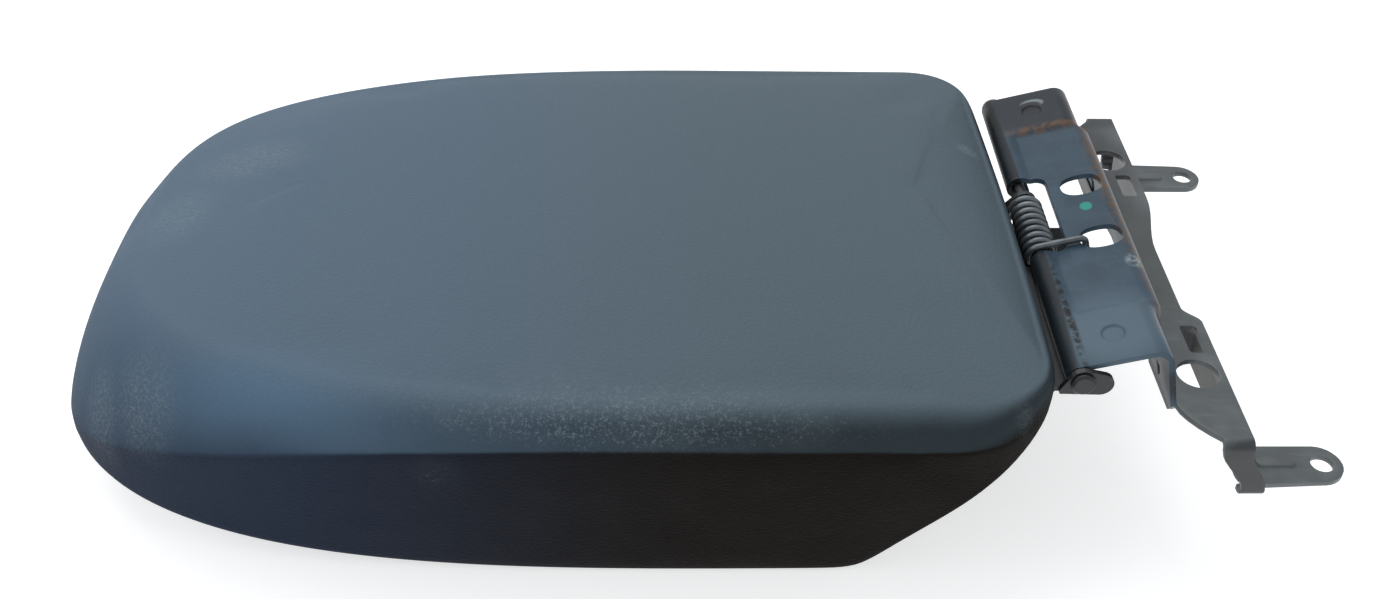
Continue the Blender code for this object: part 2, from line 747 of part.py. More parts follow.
def leaf_shelf():
    """The leaf's shelf under the pin: drawn back along the coil, and it ends at the spring's leg."""
    top, low = PIN_HEIGHT - SHELF_DROP, PIN_HEIGHT - SHELF_DROP - SHEET
    back, front = LEAF_FACE_GAP + EAR_SINK, LEAF_FACE_GAP + SHEET
    roll_clear = ROLL_OUTER + SHELF_TURNING_GAP
    coil_clear = COIL_RADIUS + WIRE_RADIUS + SHELF_TURNING_GAP
    coil_end = COIL_NEAR - WIRE_RADIUS
    stations = (
        (-EAR_INNER - EAR_SINK, roll_clear),
        (coil_end - SHELF_COIL_GAP, roll_clear),
        (coil_end, coil_clear),
        (COIL_FAR - WIRE_RADIUS - SHELF_LEG_GAP, coil_clear),
    )
    rings = []
    for side, clear in stations:
        tip = PIN_X - math.sqrt(clear**2 - SHELF_DROP**2)
        section = [slant_point(LEAF_TOP + SHELF_ROOT, back), slant_at(top, back), (tip, top), (tip, low)]
        section += [slant_at(low, front + EAR_SINK), slant_point(LEAF_TOP + SHELF_ROOT, front - EAR_SINK)]
        rings.append([(x, side, z) for x, z in section])
    bm = loft(rings)
    bmesh.ops.holes_fill(bm, edges=bm.edges)
    return bm


def build_leaf(parent):
    """The lid's leaf: a flange on the slanted face, a shelf under the pin and two ears round the pin."""
    across = 2 * EAR_OUTER
    outline = rounded_rectangle((0.0, 0.0), across / 2, (LEAF_BOTTOM - LEAF_TOP) / 2, LEAF_CORNER)
    flange = prism(outline, LEAF_FACE_GAP, LEAF_FACE_GAP + SHEET)
    placed(flange, slant_place(0.0, leaf_screw_down(), 0.0))
    leaf = add_object("hinge_leaf", flange, "black_steel", parent)
    combine(leaf, add_tool("leaf_shelf", leaf_shelf()), "UNION")

    disc = arc((PIN_X, PIN_HEIGHT), EAR_RADIUS, 0.0, 2 * math.pi, ROUND_SEGMENTS)[:-1]
    stop = (PIN_X + EAR_STOP_REACH, PIN_HEIGHT - EAR_STOP_DROP)
    near = disc + arc(stop, EAR_STOP_RADIUS, 0.0, 2 * math.pi, ROUND_SEGMENTS)[:-1]
    neck = PIN_X - EAR_NECK_REACH
    shelf_top = PIN_HEIGHT - SHELF_DROP
    near += [(neck, shelf_top - EAR_TRIM), (neck, shelf_top - SHEET + EAR_TRIM)]
    low, high = LEAF_FACE_GAP + EAR_SINK, LEAF_FACE_GAP + SHEET + EAR_SINK
    end = LEAF_TOP + EAR_NECK_LENGTH
    middle = disc + [slant_point(LEAF_TOP, low), slant_point(end, low), slant_point(end, high)]
    ears = (("ear_near", near, -EAR_OUTER), ("ear_middle", middle, COIL_FAR + WIRE_RADIUS + EAR_COIL_GAP))
    for name, points, start in ears:
        ear = upright(prism(hull(points), start + EAR_TRIM, start + SHEET - EAR_TRIM))
        combine(leaf, add_tool(name, ear), "UNION")

    bores = [rod(PIN_RADIUS + PIN_CLEARANCE, -0.1, 0.1)]
    placed(bores[0], Matrix.Translation(PIN_AXIS) @ Matrix.Rotation(math.pi / 2, 4, "X"))
    for side in LEAF_SCREW_PLACES:
        bore = rod(LEAF_SCREW_RADIUS + SCREW_CLEARANCE, -0.01, 0.01, SMALL_SEGMENTS)
        bores.append(placed(bore, slant_place(side, leaf_screw_down(), 0.0)))
    combine(leaf, add_tool("leaf_holes", together(bores)))


def build_pin(parent):
    """The hinge pin with its head at the near end and a spring clip in its groove."""
    near = -EAR_OUTER - PIN_CLEARANCE
    end = PLATE_HALF_LENGTH + PIN_CLEARANCE
    groove = CLIP_WALL + 2 * CLIP_GAP
    profile = [
        (0.0, near - PIN_HEAD_HEIGHT),
        (0.8 * PIN_HEAD_RADIUS, near - PIN_HEAD_HEIGHT),
        (PIN_HEAD_RADIUS, near - 0.5 * PIN_HEAD_HEIGHT),
        (PIN_HEAD_RADIUS, near),
        (PIN_RADIUS, near),
        (PIN_RADIUS, end),
        (PIN_GROOVE_RADIUS, end),
        (PIN_GROOVE_RADIUS, end + groove),
        (PIN_RADIUS, end + groove),
        (PIN_RADIUS, end + groove + 0.6 * PIN_TIP),
        (0.7 * PIN_RADIUS, end + groove + PIN_TIP),
        (0.0, end + groove + PIN_TIP),
    ]
    lying = Matrix.Translation(PIN_AXIS) @ Matrix.Rotation(-math.pi / 2, 4, "X")
    add_object("hinge_pin", placed(turned(profile), lying), "screw_steel", parent)

    inner = PIN_GROOVE_RADIUS + CLIP_GAP
    outline = arc((0.0, 0.0), CLIP_RADIUS, CLIP_MOUTH, 2 * math.pi - CLIP_MOUTH, 14)
    outline += arc((0.0, 0.0), inner, 2 * math.pi - CLIP_MOUTH, CLIP_MOUTH, 14)
    clip = prism(outline, end + CLIP_GAP, end + CLIP_GAP + CLIP_WALL)
    add_object("pin_clip", placed(clip, lying), "spring_steel", parent)


def plate_path(side):
    """Centre line of the hinge plate in the side view at one place along the pin."""
    middle = 1.0 - ramp(abs(side), PLATE_MIDDLE_HALF, PLATE_MIDDLE_HALF + PLATE_STEP_RUN)
    start = math.pi / 2 + PLATE_TILT
    points = arc((PIN_X, PIN_HEIGHT), ROLL_RADIUS, ROLL_END, start, ROLL_STEPS)
    reach = PLATE_REACH + PLATE_MIDDLE_EXTRA * middle
    for along, down in ((PLATE_RECESS_START, 0.0), (PLATE_RECESS_END, 1.0), (reach / 2, 1.0), (reach, 1.0)):
        height = ROLL_RADIUS - PLATE_RECESS * middle * down
        point = PIN_AXIS + PLATE_ALONG * along + PLATE_UP * height
        points.append((point.x, point.z))
    centre = Vector((points[-1][0], 0.0, points[-1][1])) - PLATE_UP * PLATE_BEND_RADIUS
    bend_start = math.pi / 2 + PLATE_TILT
    points += arc((centre.x, centre.z), PLATE_BEND_RADIUS, bend_start, WEB_LEAN, BEND_STEPS + 1)[1:]
    x, z = points[-1]
    low = BRACKET_HEIGHT + WEB_SEAT_GAP + 0.5 * SHEET * math.sin(WEB_LEAN)
    points.append((x + (z - low) * math.tan(WEB_LEAN), low))
    return points


def build_plate(parent):
    """The pressed plate: rolled round the pin, recessed in the middle and bent down to the bracket."""
    step = (PLATE_MIDDLE_HALF, PLATE_MIDDLE_HALF + PLATE_STEP_RUN)
    sides = [-PLATE_HALF_LENGTH, -step[1], -step[0], 0.0, step[0], step[1], PLATE_HALF_LENGTH]
    centres, normals = [], []
    for side in sides:
        path = plate_path(side)
        centres.append([Vector((x, side, z)) for x, z in path])
        normals.append([Vector((x, 0.0, z)) for x, z in path_normals(path)])
    plate = add_object("hinge_plate", folded_sheet(centres, normals, SHEET), "black_steel", parent)

    cuts = []
    hole = PIN_AXIS + PLATE_ALONG * PLATE_HOLE_REACH
    for side in (-PLATE_HOLE_PLACE, PLATE_HOLE_PLACE):
        outline = []
        for i in range(ROUND_SEGMENTS):
            angle = 2 * math.pi * (i + 0.5) / ROUND_SEGMENTS
            reach_x = 0.5 * PLATE_HOLE_LENGTH * math.cos(PLATE_TILT) * math.cos(angle)
            outline.append((hole.x + reach_x, side + 0.5 * PLATE_HOLE_WIDTH * math.sin(angle)))
        cuts.append(prism(outline, PIN_HEIGHT, PIN_HEIGHT + CUT_DEPTH))
    low_x = PIN_X - ROLL_OUTER - SLOT_FRONT_CLEARANCE
    high_x = PIN_X + SLOT_REACH * math.cos(PLATE_TILT) - ROLL_RADIUS * math.sin(PLATE_TILT)
    centre = ((low_x + high_x) / 2, (SLOT_NEAR + SLOT_FAR) / 2)
    outline = rounded_rectangle(centre, (high_x - low_x) / 2, (SLOT_FAR - SLOT_NEAR) / 2, SLOT_CORNER)
    squared = [(low_x if x < centre[0] else x, y) for x, y in outline]
    squared = [(x, y) for i, (x, y) in enumerate(squared) if (x, y) not in squared[:i]]
    slot = hull([*squared, (low_x, SLOT_NEAR), (low_x, SLOT_FAR)])
    cuts.append(prism(slot, PIN_HEIGHT - 2 * ROLL_OUTER, PIN_HEIGHT + 3 * ROLL_OUTER))
    slope = Matrix.Rotation(-PLATE_TILT, 4, "Y")
    for side in (-DIMPLE_PLACE, DIMPLE_PLACE):
        height = ROLL_OUTER - DIMPLE_DEPTH
        dimple = rod(DIMPLE_RADIUS, height, height + SHEET)
        spot = Matrix.Translation(PIN_AXIS + Vector((0.0, side, 0.0))) @ slope
        cuts.append(placed(dimple, spot @ Matrix.Translation((DIMPLE_REACH, 0.0, 0.0))))
    combine(plate, add_tool("plate_cuts", together(cuts)))


def swept(points, radius, sides):
    """A round wire along points in space."""
    path = [Vector(point) for point in points]
    bm = bmesh.new()
    rows = []
    across = Vector((0.0, 1.0, 0.0))
    for i, point in enumerate(path):
        before = path[max(0, i - 1)]
        after = path[min(len(path) - 1, i + 1)]
        along = (after - before).normalized()
        across = (across - along * across.dot(along)).normalized()
        other = along.cross(across)
        ring = []
        for k in range(sides):
            angle = 2 * math.pi * k / sides
            ring.append(bm.verts.new(point + (across * math.cos(angle) + other * math.sin(angle)) * radius))
        rows.append(ring)
    for below, above in zip(rows, rows[1:]):
        for k in range(sides):
            j = (k + 1) % sides
            bm.faces.new((below[k], below[j], above[j], above[k]))
    bm.faces.new(rows[0])
    bm.faces.new(rows[-1])
    return bm


def build_spring(parent):
    """The torsion spring: a hooked leg in the plate's hole, the coil, and a leg on the leaf."""
    points = []
    reach = PLATE_HOLE_REACH - 0.5 * PLATE_HOLE_LENGTH + WIRE_RADIUS + SPRING_HOOK_GAP
    bend = SPRING_HOOK_BEND
    for back, down in ((0.0, SPRING_HOOK_DROP), (0.0, 0.9 * bend), (0.33 * bend, 0.25 * bend), (bend, 0.0)):
        point = PIN_AXIS + PLATE_ALONG * (reach - back) + PLATE_UP * (COIL_RADIUS - down)
        points.append((point.x, COIL_NEAR, point.z))
    start = math.pi / 2 + PLATE_TILT
    end = COIL_LEAVE + 2 * math.pi * COIL_WHOLE_TURNS
    steps = round((end - start) / (2 * math.pi) * COIL_STEPS)
    for i in range(steps + 1):
        share = i / steps
        angle = start + (end - start) * share
        x = PIN_X + COIL_RADIUS * math.cos(angle)
        z = PIN_HEIGHT + COIL_RADIUS * math.sin(angle)
        points.append((x, COIL_NEAR + (COIL_FAR - COIL_NEAR) * share, z))
    out = LEAF_FACE_GAP + SHEET + SPRING_TAIL_GAP + WIRE_RADIUS
    for down in (SPRING_TAIL_BEND / 2, SPRING_TAIL_BEND, SPRING_TAIL_LENGTH):
        x, z = slant_point(LEAF_TOP + down, out)
        points.append((x, COIL_FAR, z))
    add_object("torsion_spring", swept(points, WIRE_RADIUS, WIRE_SIDES), "spring_steel", parent, 60.0)


def bracket_rows(waist_end, arm_start):
    """Half of the bracket, from the middle to a foot's inner edge: (Y, Z, front X, rear X)."""
    level = BRACKET_HEIGHT - SHEET / 2
    foot = FOOT_HEIGHT - SHEET / 2
    rows = []
    shoulder = arm_start - waist_end
    widening = [(0.0, 0.0), (waist_end / 2, 0.0), (waist_end, 0.0)]
    widening += [(waist_end + 0.3 * shoulder, 0.25), (waist_end + 0.65 * shoulder, 0.75), (arm_start, 1.0)]
    for y, arm in widening:
        front = WAIST_FRONT + (ARM_FRONT - WAIST_FRONT) * arm
        rows.append((y, level, front, WAIST_REAR + (ARM_REAR - WAIST_REAR) * arm))
    radius = BRACKET_BEND_RADIUS
    outer = ARM_HALF_SPAN - SHEET / 2
    bend_start = outer - radius
    taper_start = bend_start - ARM_TAPER
    rows.append(((arm_start + taper_start) / 2, level, ARM_FRONT, ARM_REAR))
    for share, end in ((0.0, 0.0), (0.4, 0.15), (0.75, 0.62)):
        front = ARM_FRONT + (ARM_END_FRONT - ARM_FRONT) * end
        rows.append((taper_start + ARM_TAPER * share, level, front, ARM_REAR))
    for y, z in arc((bend_start, level - radius), radius, math.pi / 2, 0.0, BEND_STEPS):
        rows.append((y, z, ARM_END_FRONT, ARM_REAR))
    drop = level - foot - 2 * radius
    for share in (0.35, 0.7):
        front = ARM_END_FRONT + (FLANGE_END_FRONT - ARM_END_FRONT) * share
        rear = ARM_REAR + (FLANGE_END_REAR - ARM_REAR) * share
        rows.append((outer, level - radius - drop * share, front, rear))
    for y, z in arc((bend_start, foot + radius), radius, 0.0, -math.pi / 2, BEND_STEPS):
        rows.append((y, z, FLANGE_END_FRONT, FLANGE_END_REAR))
    middle = (FOOT_OUTER + FOOT_INNER) / 2
    half = (FOOT_OUTER - FOOT_INNER) / 2
    rows.append(((bend_start + FOOT_OUTER) / 2, foot, FLANGE_END_FRONT, FLANGE_END_REAR + 0.002))
    for turn in (0.97, 0.8, 0.5, 0.0, -0.5, -0.8, -0.97):
        reach = half * (1.0 - math.sqrt(1.0 - turn * turn))
        front = FLANGE_END_FRONT + 0.5 * reach + 0.003 * (1.0 - turn) / 2
        rows.append((middle + half * turn, foot, front, FOOT_TIP - reach))
    return rows


def build_bracket(parent):
    """The bracket: one folded strip with a bolt foot at each end."""
    near = bracket_rows(NEAR_WAIST_END, NEAR_ARM_START)
    far = bracket_rows(FAR_WAIST_END, FAR_ARM_START)
    rows = [(-y, z, front, rear) for y, z, front, rear in near[:0:-1]] + far
    offsets = path_normals([(y, z) for y, z, _, _ in rows])
    centres, normals = [], []
    for (y, z, front, rear), (across, up) in zip(rows, offsets):
        line = []
        for share in (0.0, 0.3, 0.65, 1.0):
            line.append(Vector((REAR_X + front + (rear - front) * share, y, z)))
        centres.append(line)
        normals.append([Vector((0.0, across, up))] * len(line))
    bracket = add_object("mounting_bracket", folded_sheet(centres, normals, SHEET), "black_steel", parent)

    lips = []
    end = ARM_HALF_SPAN - BRACKET_BEND_RADIUS - ARM_TAPER
    for sign, start in ((-1, NEAR_ARM_START), (1, FAR_ARM_START)):
        front = (start + ARM_LIP_SET_IN, ARM_LIP_DEPTH, ARM_LIP_SLOPE, ARM_FRONT + ARM_LIP_TRIM)
        rear = (start + REAR_LIP_SET_IN, REAR_LIP_DEPTH, REAR_LIP_SLOPE, ARM_REAR - SHEET)
        for inner, depth, slope, place in (front, rear):
            top, low = BRACKET_HEIGHT - 0.25 * SHEET, BRACKET_HEIGHT - SHEET - depth
            drawing = [(inner, top), (end, top), (end - slope, low), (inner + slope, low)]
            start_x = REAR_X + place
            lip = prism([(sign * y, z) for y, z in drawing], start_x, start_x + SHEET - ARM_LIP_TRIM)
            lips.append(placed(lip, Matrix(((0, 0, 1, 0), (1, 0, 0, 0), (0, 1, 0, 0), (0, 0, 0, 1)))))
    for number, lip in enumerate(lips, 1):
        combine(bracket, add_tool(f"lip_{number}", lip), "UNION")

    cuts = []
    for sign in (-1, 1):
        hole = rod(ARM_HOLE_RADIUS, BRACKET_HEIGHT - 0.01, BRACKET_HEIGHT + 0.01)
        spot = (REAR_X + ARM_HOLE_REACH, sign * ARM_HOLE_PLACE, 0.0)
        cuts.append(placed(hole, Matrix.Translation(spot)))
        centre = (REAR_X + ARM_SLOT_REACH, sign * ARM_SLOT_PLACE)
        outline = rounded_rectangle(centre, ARM_SLOT_WIDTH / 2, ARM_SLOT_LENGTH / 2, ARM_SLOT_CORNER, 2)
        cuts.append(prism(outline, BRACKET_HEIGHT - 0.01, BRACKET_HEIGHT + 0.01))
        bolt = rod(BOLT_HOLE_RADIUS, FOOT_HEIGHT - 0.01, FOOT_HEIGHT + 0.01)
        cuts.append(placed(bolt, Matrix.Translation((REAR_X + BOLT_REACH, sign * BOLT_PLACE, 0.0))))
    combine(bracket, add_tool("bracket_cuts", together(cuts)))


def main():
    clear_scene()
    lid = add_empty("lid_pivot", PIN_AXIS)
    build_cover(lid)
    build_foam(lid)
    build_base(lid)
    build_panel(lid)
    build_fasteners(lid)
    build_leaf(lid)
    build_pin(lid)
    bracket = add_empty("bracket_root", Vector((REAR_X, 0.0, BRACKET_HEIGHT)))
    build_plate(bracket)
    build_spring(bracket)
    build_bracket(bracket)


main()
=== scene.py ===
"""Looks of the padded armrest lid: leatherette pad, pressed hinge sheets, spring, floor and light."""

from __future__ import annotations

import json
import logging
import math
from collections.abc import Mapping, Sequence
from dataclasses import dataclass
from enum import Enum
from functools import reduce
from typing import Any

import bmesh
import bpy
import numpy as np
from mathutils import Matrix, Vector, noise

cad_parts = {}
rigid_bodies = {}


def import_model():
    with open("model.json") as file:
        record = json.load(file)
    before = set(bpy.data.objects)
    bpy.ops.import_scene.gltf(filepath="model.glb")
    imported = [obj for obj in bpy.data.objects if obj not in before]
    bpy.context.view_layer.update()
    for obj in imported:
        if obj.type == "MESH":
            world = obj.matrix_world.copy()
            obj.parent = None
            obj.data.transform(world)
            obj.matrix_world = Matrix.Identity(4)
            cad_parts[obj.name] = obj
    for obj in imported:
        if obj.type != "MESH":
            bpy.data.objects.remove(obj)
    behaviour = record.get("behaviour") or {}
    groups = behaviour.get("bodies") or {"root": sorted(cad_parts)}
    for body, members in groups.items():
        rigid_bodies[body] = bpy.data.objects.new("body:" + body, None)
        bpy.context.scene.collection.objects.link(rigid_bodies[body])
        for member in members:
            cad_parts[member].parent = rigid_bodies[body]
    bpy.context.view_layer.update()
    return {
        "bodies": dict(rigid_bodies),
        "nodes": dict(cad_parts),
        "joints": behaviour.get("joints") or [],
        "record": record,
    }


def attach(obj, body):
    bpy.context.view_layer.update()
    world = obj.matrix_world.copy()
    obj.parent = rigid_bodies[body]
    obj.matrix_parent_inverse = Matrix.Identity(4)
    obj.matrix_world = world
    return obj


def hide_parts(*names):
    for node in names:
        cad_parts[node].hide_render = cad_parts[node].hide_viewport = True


LOG = logging.getLogger("armrest")

LID_LENGTH = 0.3115
FOOT_TIP = 0.0923
REAR_X = (LID_LENGTH - FOOT_TIP) / 2
SOFT_EDGE = 0.00028

Colour = tuple[float, float, float]
Place = tuple[float, float, float]
Point = tuple[float, float]


class Body(str, Enum):
    """The rigid bodies that pieces ride on."""

    BRACKET = "bracket"
    LID = "lid"


class Operation(str, Enum):
    """Boolean operations."""

    CUT = "DIFFERENCE"
    JOIN = "UNION"


def behind(x: float, y: float, z: float) -> Place:
    """A place given from the lid's rear edge."""
    return (REAR_X + x, y, z)


# Shader building


class Signal:
    """A shader socket that can be added, multiplied and shaped like a number."""

    def __init__(self, shader: Shader, socket: bpy.types.NodeSocket) -> None:
        self.shader = shader
        self.socket = socket

    def math(self, operation: str, *others: Signal | float, clamp: bool = False) -> Signal:
        """Applies a Math node."""
        settings = {"operation": operation, "use_clamp": clamp}
        return self.shader.node("ShaderNodeMath", settings, dict(enumerate((self, *others))))

    def __add__(self, other: Signal | float) -> Signal:
        return self.math("ADD", other)

    def __sub__(self, other: Signal | float) -> Signal:
        return self.math("SUBTRACT", other)

    def __rsub__(self, other: float) -> Signal:
        return self.math("MULTIPLY_ADD", -1.0, other)

    def __mul__(self, other: Signal | float) -> Signal:
        return self.math("MULTIPLY", other)

    def __or__(self, other: Signal) -> Signal:
        return self.math("MAXIMUM", other)

    def clamped(self) -> Signal:
        """The same value, kept within 0 and 1."""
        return self.math("ADD", 0.0, clamp=True)

    def ramp(self, low: float, high: float) -> Signal:
        """Rises smoothly from 0 at low to 1 at high.

        Args:
            low: Where the result is 0.
            high: Where the result is 1. It may be below low.

        Returns:
            The shaped signal.
        """
        sockets = {"Value": self, "From Min": min(low, high), "From Max": max(low, high)}
        risen = self.shader.node("ShaderNodeMapRange", {"interpolation_type": "SMOOTHSTEP"}, sockets)
        return risen if low <= high else 1.0 - risen


class Shader:
    """A Principled material whose inputs are set from signals."""

    def __init__(self, name: str) -> None:
        self.material = bpy.data.materials.new(name)
        self.material.use_nodes = True
        self.tree = self.material.node_tree
        self.place = self.node("ShaderNodeTexCoord", output="Object")
        source = {"Vector": self.place}
        self.axes = [self.node("ShaderNodeSeparateXYZ", sockets=source, output=axis) for axis in "XYZ"]

    def node(
        self,
        kind: str,
        settings: Mapping[str, Any] | None = None,
        sockets: Mapping[int | str, Any] | None = None,
        output: int | str = 0,
    ) -> Signal:
        """Adds a node.

        Args:
            kind: The node's type.
            settings: Its settings, which are set first.
            sockets: Values or signals of its inputs.
            output: The output that is read.

        Returns:
            That output.
        """
        made = self.tree.nodes.new(kind)
        for name, value in (settings or {}).items():
            setattr(made, name, value)
        for key, value in (sockets or {}).items():
            if isinstance(value, Signal):
                self.tree.links.new(value.socket, made.inputs[key])
            else:
                made.inputs[key].default_value = value
        return Signal(self, made.outputs[output])

    def stretched(self, scale: Place) -> Signal:
        """The place, scaled by axis."""
        return self.node("ShaderNodeMapping", sockets={"Vector": self.place, "Scale": scale})

    def noise(
        self, scale: float, detail: float = 2.0, rough: float = 0.5, place: Signal | None = None
    ) -> Signal:
        """Soft noise about 0.5."""
        sockets = {"Vector": place or self.place, "Scale": scale, "Detail": detail, "Roughness": rough}
        return self.node("ShaderNodeTexNoise", sockets=sockets)

    def cells(self, scale: float, feature: str = "F1", place: Signal | None = None) -> Signal:
        """Distance in a cell pattern."""
        sockets = {"Vector": place or self.place, "Scale": scale}
        return self.node("ShaderNodeTexVoronoi", {"feature": feature}, sockets, "Distance")

    def attribute(self, name: str) -> Signal:
        """A number stored on the mesh's points."""
        return self.node("ShaderNodeAttribute", {"attribute_name": name}, output="Fac")

    def spot(self, centre: Place, radii: Place, soft: float = 0.6) -> Signal:
        """1 inside an ellipsoid and 0 well outside it.

        Args:
            centre: Its centre.
            radii: Its radii.
            soft: The share of the radius over which it fades.

        Returns:
            The mask.
        """
        sides = zip(self.axes, centre, radii)
        scaled = [(axis - middle) * (1.0 / radius) for axis, middle, radius in sides]
        squares = [value * value for value in scaled]
        reach = (squares[0] + squares[1] + squares[2]).math("SQRT")
        return reach.ramp(1.0 + soft / 2, 1.0 - soft / 2)

    def along(self, fade: tuple[float, float]) -> Signal:
        """A fade along the lid, between two places given from its rear edge."""
        return self.axes[0].ramp(REAR_X + fade[0], REAR_X + fade[1])

    def blend(self, share: Signal | float, low: Signal | Colour, high: Signal | Colour) -> Signal:
        """Mixes two colours."""
        first, second = (end if isinstance(end, Signal) else (*end, 1.0) for end in (low, high))
        return self.node("ShaderNodeMix", {"data_type": "RGBA"}, {0: share, 6: first, 7: second}, 2)

    def finish(
        self,
        colour: Signal,
        roughness: Signal | float,
        bumps: Sequence[tuple[Signal, float]] = (),
        **levels: float,
    ) -> bpy.types.Material:
        """Sets the surface.

        Args:
            colour: Base colour.
            roughness: Roughness.
            bumps: Heights with their depth in metres.
            levels: Inputs that are the same all over, with _ for each space in their names.

        Returns:
            The material.
        """
        inputs = self.tree.nodes["Principled BSDF"].inputs
        for name, value in levels.items():
            inputs[name.replace("_", " ")].default_value = value
        linked = {"Base Color": colour, "Roughness": roughness}
        for height, depth in bumps:
            sockets: dict[int | str, Any] = {"Distance": depth, "Height": height}
            if "Normal" in linked:
                sockets["Normal"] = linked["Normal"]
            linked["Normal"] = self.node("ShaderNodeBump", sockets=sockets)
        for name, value in linked.items():
            if isinstance(value, Signal):
                self.tree.links.new(value.socket, inputs[name])
            else:
                inputs[name].default_value = value
        return self.material


# Finishes


@dataclass(frozen=True)
class Mark:
    """A coloured place: wear, a stain, a painted highlight, a painted reflection or painted shade, as an
    ellipsoid in metres from the lid's rear edge.
    """

    centre: Place
    radii: Place
    strength: float
    colour: Colour = (0.30, 0.33, 0.34)
    soft: float = 1.2

    def mask(self, shader: Shader) -> Signal:
        """How strong the mark is at each place."""
        return shader.spot(behind(*self.centre), self.radii, self.soft) * self.strength


def joined(masks: Sequence[Signal]) -> Signal:
    """The strongest of several masks."""
    return reduce(Signal.__or__, masks)


@dataclass(frozen=True)
class Leatherette:
    """Grained artificial leather with painted light: lit where it faces up, painted shade on its shoulder
    and near black painted shade on its sides, bluer towards the nose as painted sky light, rubbed on its
    shoulder.
    """

    name: str = "leatherette"
    # Painted light: lit colours for the top, painted shade for the shoulder and near black painted shade
    # for the side, each bluer towards the nose as painted sky light.
    lit_top_rear: Colour = (0.093, 0.123, 0.146)
    lit_top_nose: Colour = (0.103, 0.143, 0.189)
    shoulder_shade_rear: Colour = (0.023, 0.032, 0.038)
    shoulder_shade_nose: Colour = (0.064, 0.103, 0.150)
    side_shade_rear: Colour = (0.0034, 0.0018, 0.0010)
    side_shade_nose: Colour = (0.0100, 0.0180, 0.0370)
    # Pale colour of dust and wear, also used for two painted highlights.
    dust_and_highlight: Colour = (0.30, 0.35, 0.37)
    # Painted sky reflection: a bluish spot on the near shoulder by the nose.
    sky_reflections: tuple[Mark, ...] = (
        Mark((-0.234, -0.092, 0.062), (0.036, 0.022, 0.018), 0.75, (0.105, 0.175, 0.255), 1.4),
    )
    pores: float = 1300.0
    pore_depth: float = 0.00005
    creases: float = 620.0
    crease_depth: float = 0.00007
    crease_stretch: Place = (0.62, 1.0, 1.0)
    clouds: float = 9.0
    mottle: float = 70.0
    flecks: tuple[float, float] = (2200.0, 800.0)
    top_fade: tuple[float, float] = (-0.06, -0.27)
    side_fade: tuple[float, float] = (-0.10, -0.255)
    rounded: tuple[float, float] = (-0.16, -0.24)
    roughness: float = 0.66
    shine: float = 0.08
    rubbed: tuple[Mark, ...] = (
        Mark((-0.125, -0.094, 0.072), (0.066, 0.020, 0.0075), 1.0),
        Mark((-0.066, -0.096, 0.071), (0.030, 0.020, 0.0060), 0.45),
        Mark((-0.180, -0.098, 0.052), (0.007, 0.012, 0.009), 0.45),
    )
    smudges_and_highlights: tuple[Mark, ...] = (
        Mark((-0.250, 0.017, 0.082), (0.016, 0.010, 0.020), 0.55),
        Mark((-0.268, -0.009, 0.078), (0.010, 0.012, 0.020), 0.50),
        Mark((-0.270, -0.073, 0.060), (0.012, 0.012, 0.018), 0.65),
        Mark((-0.286, -0.062, 0.045), (0.008, 0.009, 0.016), 0.60),
        # Painted highlights: two pale spots at the rear edge.
        Mark((-0.011, 0.031, 0.079), (0.0035, 0.0028, 0.010), 1.0),
        Mark((-0.0115, -0.093, 0.077), (0.004, 0.003, 0.010), 0.6),
    )

    def material(self) -> bpy.types.Material:
        """Builds the material.

        Returns:
            The material.
        """
        shader = Shader(self.name)
        up = shader.attribute("upward")
        pores = shader.cells(self.pores)
        creases = shader.cells(self.creases, "DISTANCE_TO_EDGE", shader.stretched(self.crease_stretch))
        broad = shader.noise(self.clouds, 3.0, 0.55)
        mottled = shader.noise(self.mottle, 4.0, 0.6)
        # Painted light and shade: the lit top colour where the cover faces up, shaded shoulder and side
        # colours below it.
        nose = shader.along(self.top_fade)
        top = shader.blend(nose, self.lit_top_rear, self.lit_top_nose)
        above = (up.ramp(0.45, 0.995) + (broad - 0.5) * 0.20 + (mottled - 0.5) * 0.08).clamped()
        shoulder = shader.blend(nose, self.shoulder_shade_rear, self.shoulder_shade_nose)
        colour = shader.blend(above, shoulder, top)
        # Painted sky reflection on the nose's shoulder.
        for tint in self.sky_reflections:
            colour = shader.blend(tint.mask(shader), colour, tint.colour)
        # Near black painted shade on the side wall, bluer towards the nose as painted sky light.
        side = shader.blend(shader.along(self.side_fade), self.side_shade_rear, self.side_shade_nose)
        level = up + (mottled - 0.5) * 0.05
        rounded = shader.along(self.rounded)
        edge = level.ramp(0.10, 0.30) * (1.0 - rounded) + level.ramp(-0.05, 0.75) * rounded
        colour = shader.blend(edge, side, colour)

        fine, coarse = self.flecks
        flecks = shader.noise(fine, 2.0, 0.7) * 0.55 + shader.noise(coarse, 3.0, 0.6) * 0.45
        rubbed = joined([mark.mask(shader) for mark in self.rubbed])
        grains = (flecks + rubbed * 0.10).ramp(0.60, 0.72) * rubbed
        colour = shader.blend(grains * 0.28 + rubbed * mottled.ramp(0.3, 0.75) * 0.05, colour, self.dust_and_highlight)
        # Pale smudges on the nose, and two painted highlights at the rear edge.
        smudged_and_lit = joined([mark.mask(shader) for mark in self.smudges_and_highlights])
        colour = shader.blend(smudged_and_lit * (flecks.ramp(0.46, 0.62) * 0.32 + 0.06), colour, self.dust_and_highlight)
        return shader.finish(
            colour,
            (mottled - 0.5) * 0.16 + self.roughness + grains * 0.1,
            bumps=((creases.ramp(0.0, 0.22), self.crease_depth), (pores, self.pore_depth)),
            Specular_IOR_Level=self.shine,
        )


